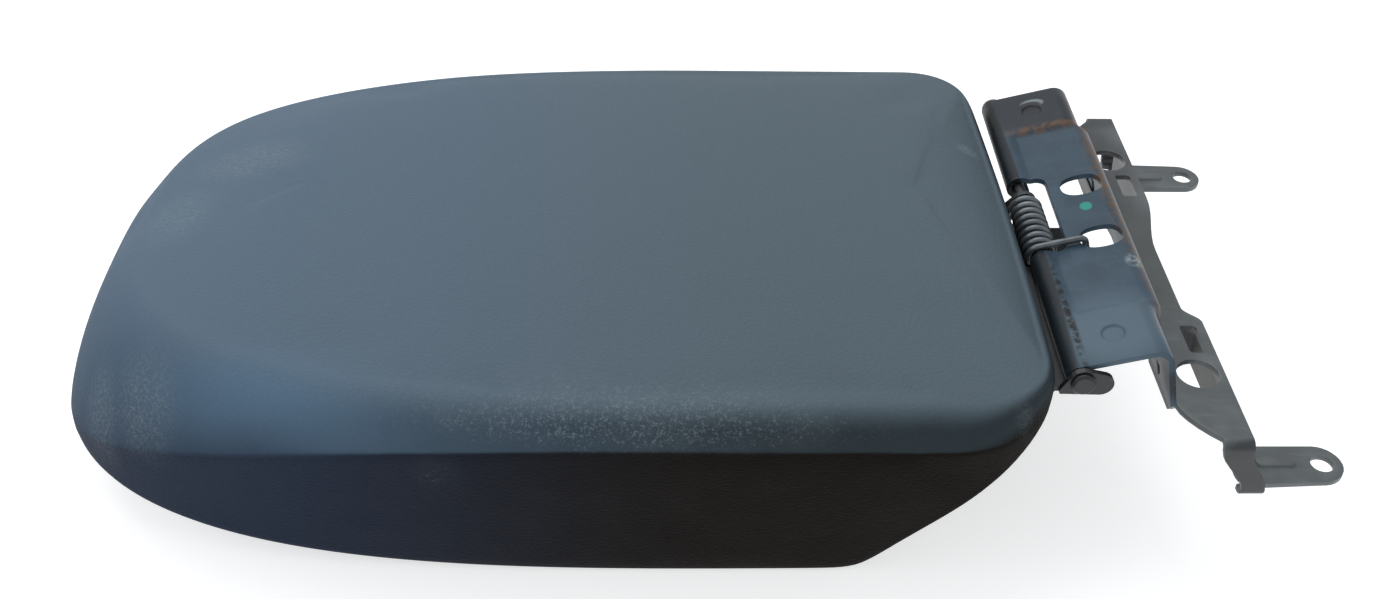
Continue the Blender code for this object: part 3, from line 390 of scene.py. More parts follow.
@dataclass(frozen=True)
class PaintedSteel:
    """Satin black coating on pressed sheet, with worn and stained places and with marks of painted shade,
    highlights and reflections.
    """

    name: str
    base: Colour = (0.030, 0.054, 0.078)
    worn: Colour = (0.058, 0.094, 0.128)
    roughness: float = 0.40
    coat: float = 0.15
    metallic: float = 0.0
    shine: float = 0.5
    marks: tuple[Mark, ...] = ()
    clouds: float = 55.0
    cloud_depth: float = 0.00015
    grain: float = 900.0
    grain_depth: float = 0.00002
    streaks: float = 220.0
    streak_stretch: Place = (0.25, 3.0, 1.0)
    ragged: float = 420.0
    specks: float = 1400.0
    speck: Colour = (0.25, 0.26, 0.26)

    def material(self) -> bpy.types.Material:
        """Builds the material.

        Returns:
            The material.
        """
        shader = Shader(self.name)
        cloud = shader.noise(self.clouds, 5.0, 0.6)
        fine = shader.noise(self.grain, 2.0, 0.5)
        streaks = shader.noise(self.streaks, 2.0, 0.5, shader.stretched(self.streak_stretch))
        wear = cloud.ramp(0.35, 0.75) * 0.7 + streaks.ramp(0.55, 0.8) * 0.3
        colour = shader.blend(wear, self.base, self.worn)
        ragged = shader.noise(self.ragged, 3.0, 0.6)
        for mark in self.marks:
            mask = mark.mask(shader)
            if mark.soft >= 1.0:
                mask = mask * ragged.ramp(0.36, 0.60)
            colour = shader.blend(mask, colour, mark.colour)
        specks = shader.noise(self.specks, 1.0, 0.5).ramp(0.70, 0.76)
        colour = shader.blend(specks * 0.25, colour, self.speck)
        return shader.finish(
            colour,
            (cloud - 0.5) * 0.25 + self.roughness + specks * 0.2,
            bumps=((fine, self.grain_depth), (cloud, self.cloud_depth)),
            Metallic=self.metallic,
            Specular_IOR_Level=self.shine,
            Coat_Weight=self.coat,
            Coat_Roughness=0.25,
        )


@dataclass(frozen=True)
class Plain:
    """A moulded or metal finish with fine variation."""

    name: str
    base: Colour
    varied: Colour
    roughness: float
    metallic: float = 0.0
    grain: float = 700.0
    depth: float = 0.00003

    def material(self) -> bpy.types.Material:
        """Builds the material.

        Returns:
            The material.
        """
        shader = Shader(self.name)
        cloud = shader.noise(80.0, 4.0, 0.6)
        grain = shader.noise(self.grain, 2.0, 0.5)
        colour = shader.blend(cloud.ramp(0.3, 0.75), self.base, self.varied)
        rough = (cloud - 0.5) * 0.2 + self.roughness
        return shader.finish(colour, rough, bumps=((grain, self.depth),), Metallic=self.metallic)


BROWN: Colour = (0.115, 0.060, 0.030)
DARK_BROWN: Colour = (0.020, 0.019, 0.023)
PALE: Colour = (0.30, 0.34, 0.35)
GREEN: Colour = (0.020, 0.26, 0.20)
SHADE_BLACK: Colour = (0.007, 0.008, 0.009)
PLATE_MARKS = (
    # Painted reflection: the near end lighter and bluer.
    Mark((0.0180, -0.0600, 0.0770), (0.0160, 0.0170, 0.0200), 0.65, (0.100, 0.145, 0.180), 0.9),
    # Painted reflection: the far end darker.
    Mark((0.0235, 0.0640, 0.0770), (0.0260, 0.0150, 0.0200), 0.85, DARK_BROWN, 0.35),
    # Brown along the far step and the rear bend: painted reflection of a warm surface, partly edge wear.
    Mark((0.0200, 0.0508, 0.0770), (0.0160, 0.0020, 0.0100), 0.90, BROWN, 1.0),
    Mark((0.0335, 0.0180, 0.0760), (0.0030, 0.0560, 0.0060), 0.95, BROWN, 1.1),
    Mark((0.0350, -0.0420, 0.0700), (0.0030, 0.0170, 0.0090), 0.80, BROWN, 1.1),
    Mark((0.0345, -0.0610, 0.0665), (0.0060, 0.0190, 0.0075), 0.80, DARK_BROWN, 0.6),
    Mark((0.0320, -0.0290, 0.0770), (0.0024, 0.0030, 0.0050), 0.80, PALE, 1.0),
    Mark((0.0242, 0.0024, 0.0775), (0.0019, 0.0022, 0.0100), 0.95, GREEN, 0.35),
    # Painted highlight and painted shade of the far dimple.
    Mark((0.0188, 0.0665, 0.0770), (0.0040, 0.0026, 0.0100), 0.60, PALE, 0.4),
    Mark((0.0178, 0.0652, 0.0770), (0.0040, 0.0026, 0.0100), 0.95, DARK_BROWN, 0.4),
    # Painted shade: the roll's side towards the pad near black.
    Mark((0.0042, 0.0000, 0.0710), (0.0030, 0.0900, 0.0080), 0.85, SHADE_BLACK, 0.3),
    # Painted shade: a dark line where the roll meets the plate.
    Mark((0.0076, -0.0490, 0.0740), (0.0011, 0.0290, 0.0030), 0.95, SHADE_BLACK, 1.0),
)
BRACKET_MARKS = (
    Mark((0.0500, 0.0880, 0.0500), (0.0200, 0.0080, 0.0200), 0.70, DARK_BROWN, 0.8),
    Mark((0.0440, 0.0560, 0.0580), (0.0120, 0.0300, 0.0060), 0.60, DARK_BROWN, 0.8),
    # Painted shade on the near arm's end flange.
    Mark((0.0580, -0.0900, 0.0480), (0.0120, 0.0040, 0.0140), 0.80, (0.020, 0.021, 0.022), 0.4),
    Mark((0.0460, 0.0000, 0.0580), (0.0130, 0.0300, 0.0060), 0.60, (0.045, 0.050, 0.047), 0.8),
    # Painted shade inside the arms' turned-down lips.
    Mark((0.0480, -0.0520, 0.0470), (0.0160, 0.0360, 0.0085), 0.92, SHADE_BLACK, 0.2),
    Mark((0.0480, 0.0520, 0.0470), (0.0160, 0.0360, 0.0085), 0.92, SHADE_BLACK, 0.2),
)

PLATE_STEEL = PaintedSteel("plate_steel", coat=0.0, shine=0.2, marks=PLATE_MARKS)
BRACKET_STEEL = PaintedSteel(
    "bracket_steel",
    base=(0.080, 0.088, 0.092),
    worn=(0.150, 0.165, 0.170),
    roughness=0.46,
    metallic=0.25,
    marks=BRACKET_MARKS,
)
# Black coating, made near black so that the leaf, the pin and the shade shelf also carry painted shade.
LEAF_STEEL = PaintedSteel("leaf_steel", (0.006, 0.007, 0.008), (0.014, 0.016, 0.018), 0.45, 0.1)
SPRING_STEEL = Plain("spring_wire", (0.09, 0.10, 0.11), (0.19, 0.21, 0.22), 0.30, 0.6)
ZINC = Plain("zinc", (0.28, 0.28, 0.27), (0.42, 0.42, 0.40), 0.38, 0.9)
PLASTIC = Plain("moulded_plastic", (0.018, 0.019, 0.020), (0.030, 0.031, 0.033), 0.55, depth=0.00005)
RUBBER = Plain("rubber", (0.014, 0.014, 0.014), (0.024, 0.024, 0.025), 0.85)
FOAM = Plain("foam", (0.55, 0.50, 0.36), (0.66, 0.62, 0.48), 0.95, grain=900.0, depth=0.0003)
KEPT_NODES: tuple[tuple[str, Plain | PaintedSteel], ...] = (
    ("foam_pad", FOAM),
    ("lid_base", PLASTIC),
    ("lower_panel", PLASTIC),
    ("hinge_leaf", LEAF_STEEL),
    # The pin takes the near black leaf finish as painted shade.
    ("hinge_pin", LEAF_STEEL),
    ("pin_clip", SPRING_STEEL),
    ("rubber_buffer", RUBBER),
    ("panel_screw", ZINC),
    ("leaf_screw", ZINC),
)


# Mesh helpers


def make_piece(name: str, bm: bmesh.types.BMesh, angle: float = 35.0) -> bpy.types.Object:
    """Makes an object of a bmesh, shaded smooth up to an angle.

    Args:
        name: The object's name.
        bm: Its mesh, which is freed.
        angle: The largest smooth angle in degrees.

    Returns:
        The object, at the origin.
    """
    bmesh.ops.recalc_face_normals(bm, faces=bm.faces)
    mesh = bpy.data.meshes.new(name)
    bm.to_mesh(mesh)
    bm.free()
    mesh.shade_smooth()
    mesh.set_sharp_from_angle(angle=math.radians(angle))
    piece = bpy.data.objects.new(name, mesh)
    bpy.context.scene.collection.objects.link(piece)
    return piece


def settle(piece: bpy.types.Object, angle: float | None = None) -> None:
    """Applies every modifier of a piece.

    Args:
        piece: The object.
        angle: If given, the largest smooth angle in degrees of the result.
    """
    graph = bpy.context.evaluated_depsgraph_get()
    mesh = bpy.data.meshes.new_from_object(piece.evaluated_get(graph))
    piece.modifiers.clear()
    piece.data = mesh
    if angle is not None:
        mesh.shade_smooth()
        mesh.set_sharp_from_angle(angle=math.radians(angle))


def combine(piece: bpy.types.Object, shapes: Sequence[bmesh.types.BMesh], operation: Operation) -> None:
    """Applies exact Booleans with separate shapes.

    Args:
        piece: The object that changes.
        shapes: The shapes, which are freed.
        operation: What to do with them.
    """
    helpers = []
    for shape in shapes:
        helper = make_piece("helper", shape)
        modifier = piece.modifiers.new("combine", "BOOLEAN")
        modifier.operation = operation.value
        modifier.solver = "EXACT"
        modifier.object = helper
        helpers.append(helper)
    settle(piece)
    for helper in helpers:
        bpy.data.objects.remove(helper, do_unlink=True)


def soften_edges(piece: bpy.types.Object, width: float, angle: float = 40.0) -> None:
    """Rounds a piece's sharp edges.

    Args:
        piece: The object.
        width: How far the rounding reaches.
        angle: The least angle in degrees of an edge that is rounded.
    """
    bm = bmesh.new()
    bm.from_mesh(piece.data)
    bmesh.ops.remove_doubles(bm, verts=bm.verts, dist=1e-6)
    bmesh.ops.dissolve_degenerate(bm, edges=bm.edges, dist=2e-6)
    bm.to_mesh(piece.data)
    bm.free()
    bevel = piece.modifiers.new("soft edges", "BEVEL")
    bevel.width = width
    bevel.segments = 2
    bevel.limit_method = "ANGLE"
    bevel.angle_limit = math.radians(angle)
    bevel.harden_normals = False
    settle(piece, 30.0)


def arc(centre: Sequence[float], radius: float, start: float, end: float, steps: int) -> list[Point]:
    """Points of an arc."""
    angles = np.linspace(start, end, steps + 1)
    return [(centre[0] + radius * math.cos(a), centre[1] + radius * math.sin(a)) for a in angles]


def ramp(value: float, start: float, end: float) -> float:
    """A smooth step of a number."""
    share = min(1.0, max(0.0, (value - start) / (end - start)))
    return share * share * (3.0 - 2.0 * share)


def prism(outline: Sequence[Point], low: float, high: float) -> bmesh.types.BMesh:
    """An outline in XY, extruded along Z.

    Args:
        outline: Its corners.
        low: The lower height.
        high: The upper height.

    Returns:
        The closed mesh.
    """
    bm = bmesh.new()
    face = bm.faces.new([bm.verts.new((x, y, low)) for x, y in outline])
    grown = bmesh.ops.extrude_face_region(bm, geom=[face])
    moved = [item for item in grown["geom"] if isinstance(item, bmesh.types.BMVert)]
    bmesh.ops.translate(bm, verts=moved, vec=(0.0, 0.0, high - low))
    return bm


def placed(bm: bmesh.types.BMesh, matrix: Matrix) -> bmesh.types.BMesh:
    """Moves a mesh."""
    bmesh.ops.transform(bm, matrix=matrix, verts=bm.verts)
    return bm


def rounded_rectangle(
    centre: Sequence[float], half_x: float, half_y: float, corner: float, steps: int = 6
) -> list[Point]:
    """The outline of a rectangle with round corners.

    Args:
        centre: Its middle.
        half_x: Half its length along X.
        half_y: Half its length along Y.
        corner: The corner radius.
        steps: Chords in each corner.

    Returns:
        The points.
    """
    outline = []
    for quarter, (sx, sy) in enumerate(((1, 1), (-1, 1), (-1, -1), (1, -1))):
        middle = (centre[0] + sx * (half_x - corner), centre[1] + sy * (half_y - corner))
        outline += arc(middle, corner, quarter * math.pi / 2, (quarter + 1) * math.pi / 2, steps)
    kept = []
    for point in outline:
        if not kept or math.dist(point, kept[-1]) > 1e-6:
            kept.append(point)
    if math.dist(kept[0], kept[-1]) < 1e-6:
        kept.pop()
    return kept


def path_normals(points: Sequence[Point]) -> np.ndarray:
    """Mitred normals of a path in a plane, to the left of its direction.

    Args:
        points: The path.

    Returns:
        A vector for each point.
    """
    path = np.asarray(points, float)
    steps = np.diff(path, axis=0)
    steps /= np.linalg.norm(steps, axis=1)[:, None]
    bisected = np.vstack([steps[:1], steps[:-1] + steps[1:], steps[-1:]])
    bisected /= np.linalg.norm(bisected, axis=1)[:, None]
    cosines = np.einsum("ij,ij->i", bisected, np.vstack([steps[:1], steps]))
    return np.stack([-bisected[:, 1], bisected[:, 0]], 1) / cosines[:, None]


def folded_sheet(
    centres: list[list[Vector]], normals: list[list[Vector]], thickness: float
) -> bmesh.types.BMesh:
    """A closed sheet about a grid of centre points.

    Args:
        centres: The points, by row and column.
        normals: The offset direction at each point.
        thickness: The sheet's thickness.

    Returns:
        The mesh.
    """
    bm = bmesh.new()
    rows, columns = len(centres), len(centres[0])
    sides = []
    for share in (0.5 * thickness, -0.5 * thickness):
        side = []
        for i in range(rows):
            side.append([bm.verts.new(centres[i][j] + normals[i][j] * share) for j in range(columns)])
        sides.append(side)
    front, back = sides
    for side in sides:
        for i in range(rows - 1):
            for j in range(columns - 1):
                bm.faces.new((side[i][j], side[i + 1][j], side[i + 1][j + 1], side[i][j + 1]))
    for i in range(rows - 1):
        for j in (0, columns - 1):
            bm.faces.new((front[i][j], front[i + 1][j], back[i + 1][j], back[i][j]))
    for j in range(columns - 1):
        for i in (0, rows - 1):
            bm.faces.new((front[i][j], front[i][j + 1], back[i][j + 1], back[i][j]))
    return bm


def wire(points: Sequence[Sequence[float]], radius: float, sides: int) -> bmesh.types.BMesh:
    """A round wire along points in space.

    Args:
        points: Its centre line.
        radius: Its radius.
        sides: Faces round it.

    Returns:
        The closed mesh.
    """
    path = [Vector(point) for point in points]
    bm = bmesh.new()
    rows = []
    across = Vector((0.0, 1.0, 0.0))
    for i, point in enumerate(path):
        along = (path[min(len(path) - 1, i + 1)] - path[max(0, i - 1)]).normalized()
        across = (across - along * across.dot(along)).normalized()
        other = along.cross(across)
        ring = []
        for k in range(sides):
            angle = 2 * math.pi * k / sides
            ring.append(bm.verts.new(point + (across * math.cos(angle) + other * math.sin(angle)) * radius))
        rows.append(ring)
    for below, above in zip(rows, rows[1:]):
        for k in range(sides):
            j = (k + 1) % sides
            bm.faces.new((below[k], below[j], above[j], above[k]))
    bm.faces.new(rows[0])
    bm.faces.new(rows[-1])
    return bm


# Pad


Station = tuple[float, float, float, float]


@dataclass(frozen=True)
class PadShape:
    """Sizes of the padded cover before it swells, in metres."""

    length: float = LID_LENGTH
    half_width: float = 0.0997
    edge_height: float = 0.0766
    crown: float = 0.0100
    nose_semi: float = 0.2250
    nose_power: float = 2.95
    nose_inset: float = 0.0318
    nose_profile: float = 1.62
    nose_rise: float = 0.0231
    side_inset: float = 0.0122
    side_drop: float = 0.0130
    side_draft: float = 0.0129
    side_crease: float = 0.30
    rear_inset: float = 0.0050
    rear_drop: float = 0.0117
    rear_corner: float = 0.0313
    slant_height: float = 0.070
    slant_run: float = 0.0545
    rear_skew: float = 0.0006
    rear_bow: float = 0.0010
    bowed_length: float = 0.10
    least_rim: float = 0.15
    rim_fold: float = 0.0012
    lip: float = 0.0115
    corner_lip: float = 0.009
    corner_lip_side: Point = (0.055, 0.078)
    corner_lip_place: Point = (-0.050, -0.035)
    wall: float = 0.0015
    foot_rounding: float = 0.0040
    cap_front: float = 0.055
    cap_rear: float = 0.030

    @property
    def nose_x(self) -> float:
        """The nose's X."""
        return REAR_X - self.length

    @property
    def nose_start(self) -> float:
        """Where the straight sides turn into the nose."""
        return self.nose_x + self.nose_semi

    def floor(self, x: float) -> float:
        """Height of the underside.

        Args:
            x: The place along the lid.

        Returns:
            The height.
        """
        along = max(0.0, self.nose_start - x) / self.nose_semi
        slant = self.slant_height + (x - REAR_X) * self.slant_height / self.slant_run
        rise = self.nose_rise * along**self.nose_power
        return 0.5 * (rise + slant + math.hypot(rise - slant, self.foot_rounding))


@dataclass(frozen=True)
class Swelling:
    """How the cover swells as cloth."""

    pressure: float = 4.0
    frames: int = 20
    quality: int = 6
    stretch: float = 30.0
    bending: float = 1.5
    most: float = 0.0009
    least: float = 0.0002
    held_height: float = 0.006
    hollows: tuple[tuple[float, float], ...] = ((11.0, 0.00026), (31.0, 0.00012))
    hollow_start: float = 0.004


class Pad:
    """The leatherette-covered pad: a ring mesh that is inflated a little and given its folds."""

    NOSE_STEPS = 84
    SIDE_STEPS = 14
    CORNER_STEPS = 10
    REAR_STEPS = 26
    WALL_STEPS = 9
    SHOULDER_STEPS = 14
    CAP_STEPS = 15

    def __init__(self, shape: PadShape, swelling: Swelling) -> None:
        self.shape = shape
        self.swelling = swelling

    def outline(self, share: float) -> list[Station]:
        """Points round the pad, drawn in by a share of the shoulder.

        Args:
            share: 0 for the outer line, 1 for the top edge.

        Returns:
            X, Y, share of the nose and share of the rear edge of each point.
        """
        s = self.shape
        half = s.half_width - s.side_inset * share
        semi = s.nose_semi - s.nose_inset * share
        rear = REAR_X - s.rear_inset * share
        corner = s.rear_corner - (s.side_inset + s.rear_inset) * share
        points = []
        for angle in np.linspace(-math.pi / 2, math.pi / 2, self.NOSE_STEPS + 1):
            c, t = max(math.cos(angle), 0.0), math.sin(angle)
            reach = (c**s.nose_power + abs(t) ** s.nose_power) ** (-1 / s.nose_power)
            nose = (reach * c) ** s.nose_power
            points.append((s.nose_start - semi * reach * c, half * reach * t, nose, 0.0))
        kink = REAR_X - s.slant_run
        fore = np.linspace(s.nose_start, kink, self.SIDE_STEPS // 2 + 1)[1:]
        aft = np.linspace(kink, rear - corner, self.SIDE_STEPS // 2 + 1)[1:-1]
        side = [(float(x), half, 0.0, 0.0) for x in (*fore, *aft)]
        for x, y in arc((rear - corner, half - corner), corner, math.pi / 2, 0.0, self.CORNER_STEPS):
            side.append((x, y, 0.0, ((x - rear + corner) / corner) ** 2))
        edge = half - corner
        points += side
        points += [(rear, float(y), 0.0, 1.0) for y in np.linspace(edge, -edge, self.REAR_STEPS + 1)[1:-1]]
        points += [(x, -y, nose, back) for x, y, nose, back in reversed(side)]
        return points

    def bowed(self, x: float, y: float) -> float:
        """X with the rear edge's slight skew and bow.

        Args:
            x: The place along the lid.
            y: The place across it.

        Returns:
            The moved X.
        """
        s = self.shape
        across = y / s.half_width
        moved = s.rear_bow * (1.0 - 2.0 * across * across) - s.rear_skew * across
        return x + moved * ramp(x, REAR_X - s.bowed_length, REAR_X)

    def section(self, outer: Station, inner: Station) -> list[Place]:
        """One section from the rim's fold up to the top edge.

        Args:
            outer: The point on the outer line.
            inner: The same point on the top edge.

        Returns:
            The section's points.
        """
        s = self.shape
        x, y, nose, back = outer
        drop = s.side_drop + (s.edge_height - s.nose_rise - s.side_drop) * nose
        drop += (s.rear_drop - s.side_drop) * back
        belt = s.edge_height - drop
        rim = min(s.floor(x), s.edge_height - s.least_rim * drop)
        power = 1.0 + (s.nose_profile - 1.0) * nose
        crease = s.side_crease * (1.0 - nose) * (1.0 - back)

        def drawn_in(angle: float) -> tuple[float, float]:
            level = math.sin(angle)
            share = 1.0 - max(0.0, math.cos(angle)) ** power + crease * level * (1.0 - level)
            return x + (inner[0] - x) * share, y + (inner[1] - y) * share

        start = math.asin(max(0.0, (rim - belt) / drop) ** (1.0 / power))
        foot_x, foot_y = drawn_in(start)
        points = []
        for step in range(self.WALL_STEPS):
            z = rim + (max(belt, rim) - rim) * step / self.WALL_STEPS
            if step == 0 and belt > rim:
                z += s.rim_fold
            draft = s.side_draft * max(0.0, 1.0 - z / belt) * (1.0 - nose) * (1.0 - back)
            points.append((foot_x, foot_y * (1.0 - draft / s.half_width), z))
        for step in range(self.SHOULDER_STEPS + 1):
            angle = start + (math.pi / 2 - start) * step / self.SHOULDER_STEPS
            points.append((*drawn_in(angle), belt + drop * math.sin(angle) ** power))
        return points

    def spine(self, x: float) -> float:
        """The nearest place on the line that the cap closes to."""
        s = self.shape
        return min(max(x, s.nose_x + s.nose_inset + s.cap_front), REAR_X - s.rear_inset - s.cap_rear)

    def turned_in(self, ring: list[Place], part: float) -> list[Place]:
        """A ring of the lip under the lid, which is wider at the rear corners.

        Args:
            ring: The rim.
            part: The part of the lip's width.

        Returns:
            The new ring.
        """
        s = self.shape
        start, end = s.corner_lip_place
        drawn = []
        for x, y, _ in ring:
            middle = self.spine(x)
            corner = ramp(abs(y), *s.corner_lip_side) * ramp(x, REAR_X + start, REAR_X + end)
            wider = s.corner_lip * corner
            share = 1.0 - part * (s.lip + wider) / math.hypot(x - middle, y)
            new_x = middle + share * (x - middle)
            drawn.append((new_x, share * y, self.shape.floor(new_x)))
        return drawn

    def rings(self) -> list[list[Place]]:
        """All the outside rings, from the lip under the rim to the crown's middle line.

        Returns:
            The rings.
        """
        s = self.shape
        lines = zip(self.outline(0.0), self.outline(1.0))
        sections = [self.section(outer, inner) for outer, inner in lines]
        walls = [list(ring) for ring in zip(*sections)]
        rings = [self.turned_in(walls[0], part) for part in (1.0, 0.5, s.rim_fold / s.lip)] + walls
        for step in range(1, self.CAP_STEPS + 1):
            share = 1.0 - step / self.CAP_STEPS
            z = s.edge_height + s.crown * (1.0 - share**2)
            ring = []
            for x, y, _ in walls[-1]:
                middle = self.spine(x)
                ring.append((middle + share * (x - middle), share * y, z))
            rings.append(ring)
        return rings

    def build(self) -> bpy.types.Object:
        """Makes the pad.

        Returns:
            The finished piece.
        """
        rings = self.rings()
        count = len(rings[0])
        bm = bmesh.new()
        rows = [[bm.verts.new((self.bowed(x, y), y, z)) for x, y, z in ring] for ring in rings]
        for below, above in zip(rows, rows[1:]):
            for i in range(count):
                j = (i + 1) % count
                bm.faces.new((below[i], below[j], above[j], above[i]))
        bmesh.ops.remove_doubles(bm, verts=bm.verts, dist=1e-5)
        piece = make_piece("padded_cover", bm, 180.0)
        crest = max(piece.data.vertices, key=lambda vertex: vertex.co.z)
        if crest.normal.z < 0.0:
            piece.data.flip_normals()
        self.inflate(piece)
        self.hollow(piece)
        wall = piece.modifiers.new("wall", "SOLIDIFY")
        wall.thickness = self.shape.wall
        wall.offset = -1.0
        finer = piece.modifiers.new("finer", "SUBSURF")
        finer.levels = finer.render_levels = 1
        settle(piece)
        piece.data.shade_smooth()
        self.mark(piece)
        return piece

    def inflate(self, piece: bpy.types.Object) -> None:
        """Lets the cover swell as cloth, by at most a cap, while the foam holds it out.

        Args:
            piece: The open ring mesh.
        """
        swelling = self.swelling
        mesh = piece.data
        rest = np.array([vertex.co[:] for vertex in mesh.vertices])
        normals = np.array([vertex.normal[:] for vertex in mesh.vertices])
        group = piece.vertex_groups.new(name="held")
        held = [v.index for v in mesh.vertices if v.co.z < self.shape.floor(v.co.x) + swelling.held_height]
        group.add(held, 1.0, "REPLACE")
        settings = piece.modifiers.new("cloth", "CLOTH").settings
        settings.quality = swelling.quality
        settings.use_pressure = True
        settings.uniform_pressure_force = swelling.pressure
        settings.tension_stiffness = settings.compression_stiffness = swelling.stretch
        settings.bending_stiffness = swelling.bending
        settings.effector_weights.gravity = 0.0
        settings.vertex_group_mass = group.name
        scene = bpy.context.scene
        for number in range(1, swelling.frames + 1):
            scene.frame_set(number)
        settle(piece)
        scene.frame_set(1)
        moved = np.array([vertex.co[:] for vertex in piece.data.vertices]) - rest
        inward = np.minimum(np.einsum("ij,ij->i", moved, normals), 0.0)
        held_back = swelling.least * np.tanh(inward / swelling.least) - inward
        moved += normals * held_back[:, None]
        reach = np.linalg.norm(moved, axis=1)
        share = swelling.most * np.tanh(reach / swelling.most) / np.maximum(reach, 1e-9)
        most, mean = 1e3 * reach.max(), 1e3 * reach.mean()
        LOG.info("cloth moved the cover by %.2f mm at most, %.2f mm on average", most, mean)
        piece.data.vertices.foreach_set("co", (rest + moved * share[:, None]).ravel())
        piece.data.update()

    def hollow(self, piece: bpy.types.Object) -> None:
        """Adds shallow hollows to the cover.

        Args:
            piece: The cover.
        """
        swelling = self.swelling
        normals = [vertex.normal.copy() for vertex in piece.data.vertices]
        for vertex, normal in zip(piece.data.vertices, normals):
            place = vertex.co.copy()
            if place.z > self.shape.floor(place.x) + swelling.hollow_start:
                depth = sum(noise.noise(place * scale) * most for scale, most in swelling.hollows)
                vertex.co = place + normal * depth
        piece.data.update()

    def mark(self, piece: bpy.types.Object) -> None:
        """Stores how far each point faces up, which the leatherette's painted light and shade follow.

        Args:
            piece: The cover.
        """
        mesh = piece.data
        normals = np.empty(len(mesh.vertices) * 3)
        mesh.vertices.foreach_get("normal", normals)
        layer = mesh.attributes.new("upward", "FLOAT", "POINT")
        layer.data.foreach_set("value", np.clip(normals.reshape(-1, 3)[:, 2], 0.0, 1.0))


# Hinge


@dataclass(frozen=True)
class HingeSizes:
    """Sizes of the hinge and bracket, in metres, from the lid's rear edge."""

    pin_behind: float = 0.0070
    pin_height: float = 0.0700
    pin_radius: float = 0.0020
    clearance: float = 0.0003
    sheet: float = 0.0018
    plate_half: float = 0.0740
    plate_tilt: float = math.radians(15.0)
    plate_reach: float = 0.0215
    plate_extra: float = 0.0025
    plate_bend: float = 0.0045
    recess: float = 0.0015
    middle_half: float = 0.0480
    step_run: float = 0.0030
    web_lean: float = math.radians(14.0)
    roll_end: float = math.radians(345.0)
    bracket_height: float = 0.0580
    slant_height: float = 0.070
    slant_run: float = 0.0545

    @property
    def pin(self) -> Vector:
        """A point on the pin's axis."""
        return Vector((REAR_X + self.pin_behind, 0.0, self.pin_height))

    @property
    def roll_radius(self) -> float:
        """Radius of the rolled edge's middle line."""
        return self.pin_radius + self.clearance + self.sheet / 2

    @property
    def along(self) -> Vector:
        """Up the plate's slope."""
        return Vector((math.cos(self.plate_tilt), 0.0, math.sin(self.plate_tilt)))

    @property
    def up(self) -> Vector:
        """Out of the plate's top."""
        return Vector((-math.sin(self.plate_tilt), 0.0, math.cos(self.plate_tilt)))

    def slant_point(self, down: float, out: float) -> tuple[float, float]:
        """A point of the side view beside the slanted rear face.

        Args:
            down: Distance down the slope.
            out: Distance out of the face.

        Returns:
            X and Z.
        """
        length = math.hypot(self.slant_height, self.slant_run)
        down_x, down_z = -self.slant_run / length, -self.slant_height / length
        return (
            REAR_X + down_x * down - down_z * out,
            self.slant_height + down_z * down + down_x * out,
        )


@dataclass
class HingePiece:
    """A piece made to the hinge's sizes."""

    sizes: HingeSizes


